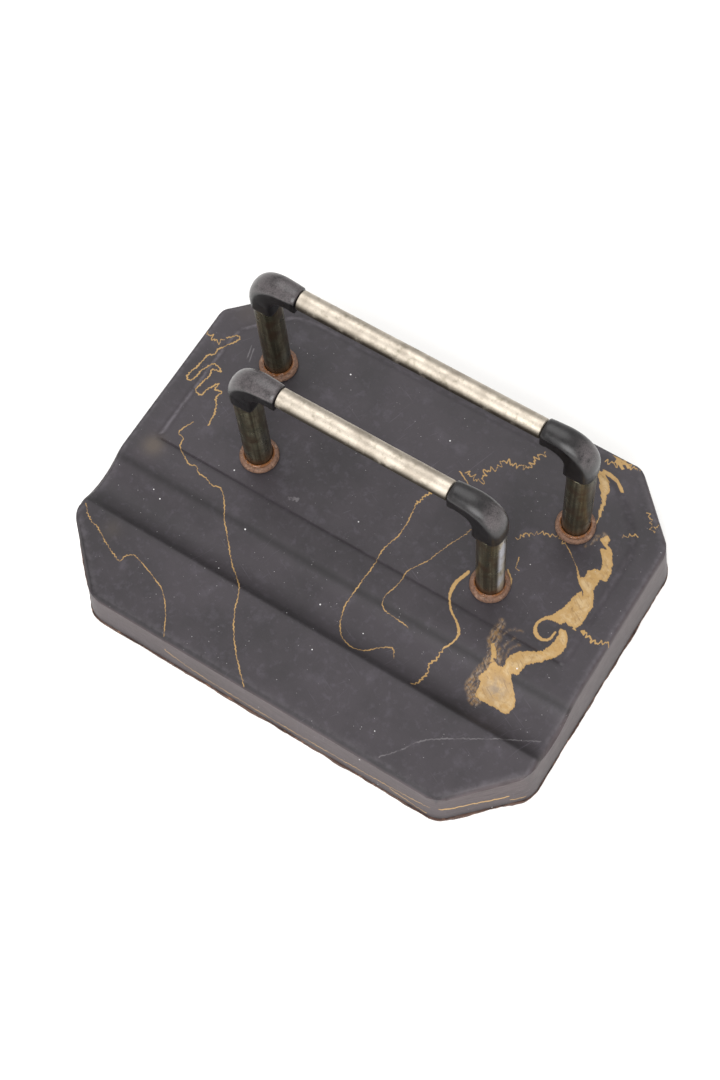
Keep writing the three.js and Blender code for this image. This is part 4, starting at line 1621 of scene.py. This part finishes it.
@dataclass(frozen=True)
class Fasteners:
    """The bushes, studs, washers and nuts, which keep their CAD shapes."""

    brass: tuple = ("bush",)
    steel: tuple = ("stud", "washer", "nut")

    def build(self) -> None:
        """Gives each CAD node its finish."""
        for kinds, finish in ((self.brass, Finish.BRASS), (self.steel, Finish.STEEL)):
            for name in (f"{kind}_{place}" for kind in kinds for place in PLACES):
                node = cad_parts[name]
                node.data.materials.clear()
                node.data.materials.append(finish.material())


# ---------------------------------------------------------------- studio


def towards(azimuth: float, elevation: float) -> Vector:
    """The way from the stand towards a place, from its angles in degrees."""
    a, e = math.radians(azimuth), math.radians(elevation)
    return Vector((math.sin(a) * math.cos(e), -math.cos(a) * math.cos(e), math.sin(e)))


@dataclass(frozen=True)
class Lamp:
    """A square soft lamp that looks at the stand."""

    name: str
    azimuth: float
    elevation: float
    distance: float
    size: float
    watts: float
    colour: int = 0xFFFFFF

    def build(self) -> None:
        """Hangs the lamp."""
        back = towards(self.azimuth, self.elevation)
        light = bpy.data.lights.new(self.name, "AREA")
        light.shape = "SQUARE"
        light.size = self.size
        light.energy = self.watts
        light.color = linear(self.colour)[:3]
        lamp = bpy.data.objects.new(self.name, light)
        lamp.location = back * self.distance
        lamp.rotation_euler = back.to_track_quat("Z", "Y").to_euler()
        bpy.context.scene.collection.objects.link(lamp)


@dataclass(frozen=True)
class Studio:
    """The camera, a pale floor, a pale sky and soft lamps."""

    azimuth: float = 38.95
    elevation: float = 66.54
    roll: float = -7.2
    distance_mm: float = 635.28
    shift_mm: tuple = (-3.4, 4.91)
    lens_mm: float = 64.38
    sensor_mm: float = 36.0
    clip_m: tuple = (0.01, 10.0)
    floor_half_m: float = 3.0
    floor_colour: int = 0xFBFAF8
    sky_colour: int = 0xFFFFFF
    sky_strength: float = 0.9
    lamps: tuple = (
        Lamp("front_lamp", 20, 38, 1.3, 0.9, 17),
        Lamp("top_lamp", 215, 66, 1.4, 0.9, 7),
    )

    def camera(self) -> None:
        """Sets the camera: it looks down on the stand from its front right."""
        a, r = math.radians(self.azimuth), math.radians(self.roll)
        back = towards(self.azimuth, self.elevation)
        level = Vector((math.cos(a), math.sin(a), 0))
        above = back.cross(level)
        right = level * math.cos(r) + above * math.sin(r)
        up = above * math.cos(r) - level * math.sin(r)
        data = bpy.data.cameras.new("camera")
        data.lens = self.lens_mm
        data.sensor_width = self.sensor_mm
        data.clip_start, data.clip_end = self.clip_m
        camera = bpy.data.objects.new("camera", data)
        place = (back * self.distance_mm + right * self.shift_mm[0] + up * self.shift_mm[1]) * MM
        turn = Matrix((right, up, back)).transposed()
        camera.matrix_world = Matrix.Translation(place) @ turn.to_4x4()
        bpy.context.scene.collection.objects.link(camera)
        bpy.context.scene.camera = camera

    def floor(self) -> None:
        """Lays the floor that the stand rests on."""
        shape = bmesh.new()
        bmesh.ops.create_grid(shape, x_segments=2, y_segments=2, size=self.floor_half_m)
        mesh = bpy.data.meshes.new("floor")
        shape.to_mesh(mesh)
        shape.free()
        surface = Surface("pale_paper_sweep", metallic=0.0, roughness=0.9)
        surface.shader.inputs["Base Color"].default_value = linear(self.floor_colour)
        mesh.materials.append(surface.material)
        floor = bpy.data.objects.new("floor", mesh)
        bpy.context.scene.collection.objects.link(floor)
        floor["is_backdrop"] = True

    def build(self) -> None:
        """Sets up the whole studio."""
        scene = bpy.context.scene
        scene.view_settings.view_transform = "Standard"
        world = bpy.data.worlds.new("pale_sky")
        world.use_nodes = True
        sky = world.node_tree.nodes["Background"]
        sky.inputs["Color"].default_value = linear(self.sky_colour)
        sky.inputs["Strength"].default_value = self.sky_strength
        scene.world = world
        self.camera()
        self.floor()
        for lamp in self.lamps:
            lamp.build()


# ---------------------------------------------------------------- the whole stand


def main() -> None:
    """Builds the stand and the studio."""
    logging.basicConfig(level=logging.INFO, format="%(name)s: %(message)s")
    Studio().build()
    Base().build()
    for place in PLACES:
        Column(place).build()
        Elbow(place).build()
    for row in ("front", "rear"):
        Rail(row).build()
    Fasteners().build()
    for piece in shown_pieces():
        LOG.info("%s: %d faces", piece.name, len(piece.data.polygons))


if __name__ == "__main__":
    main()
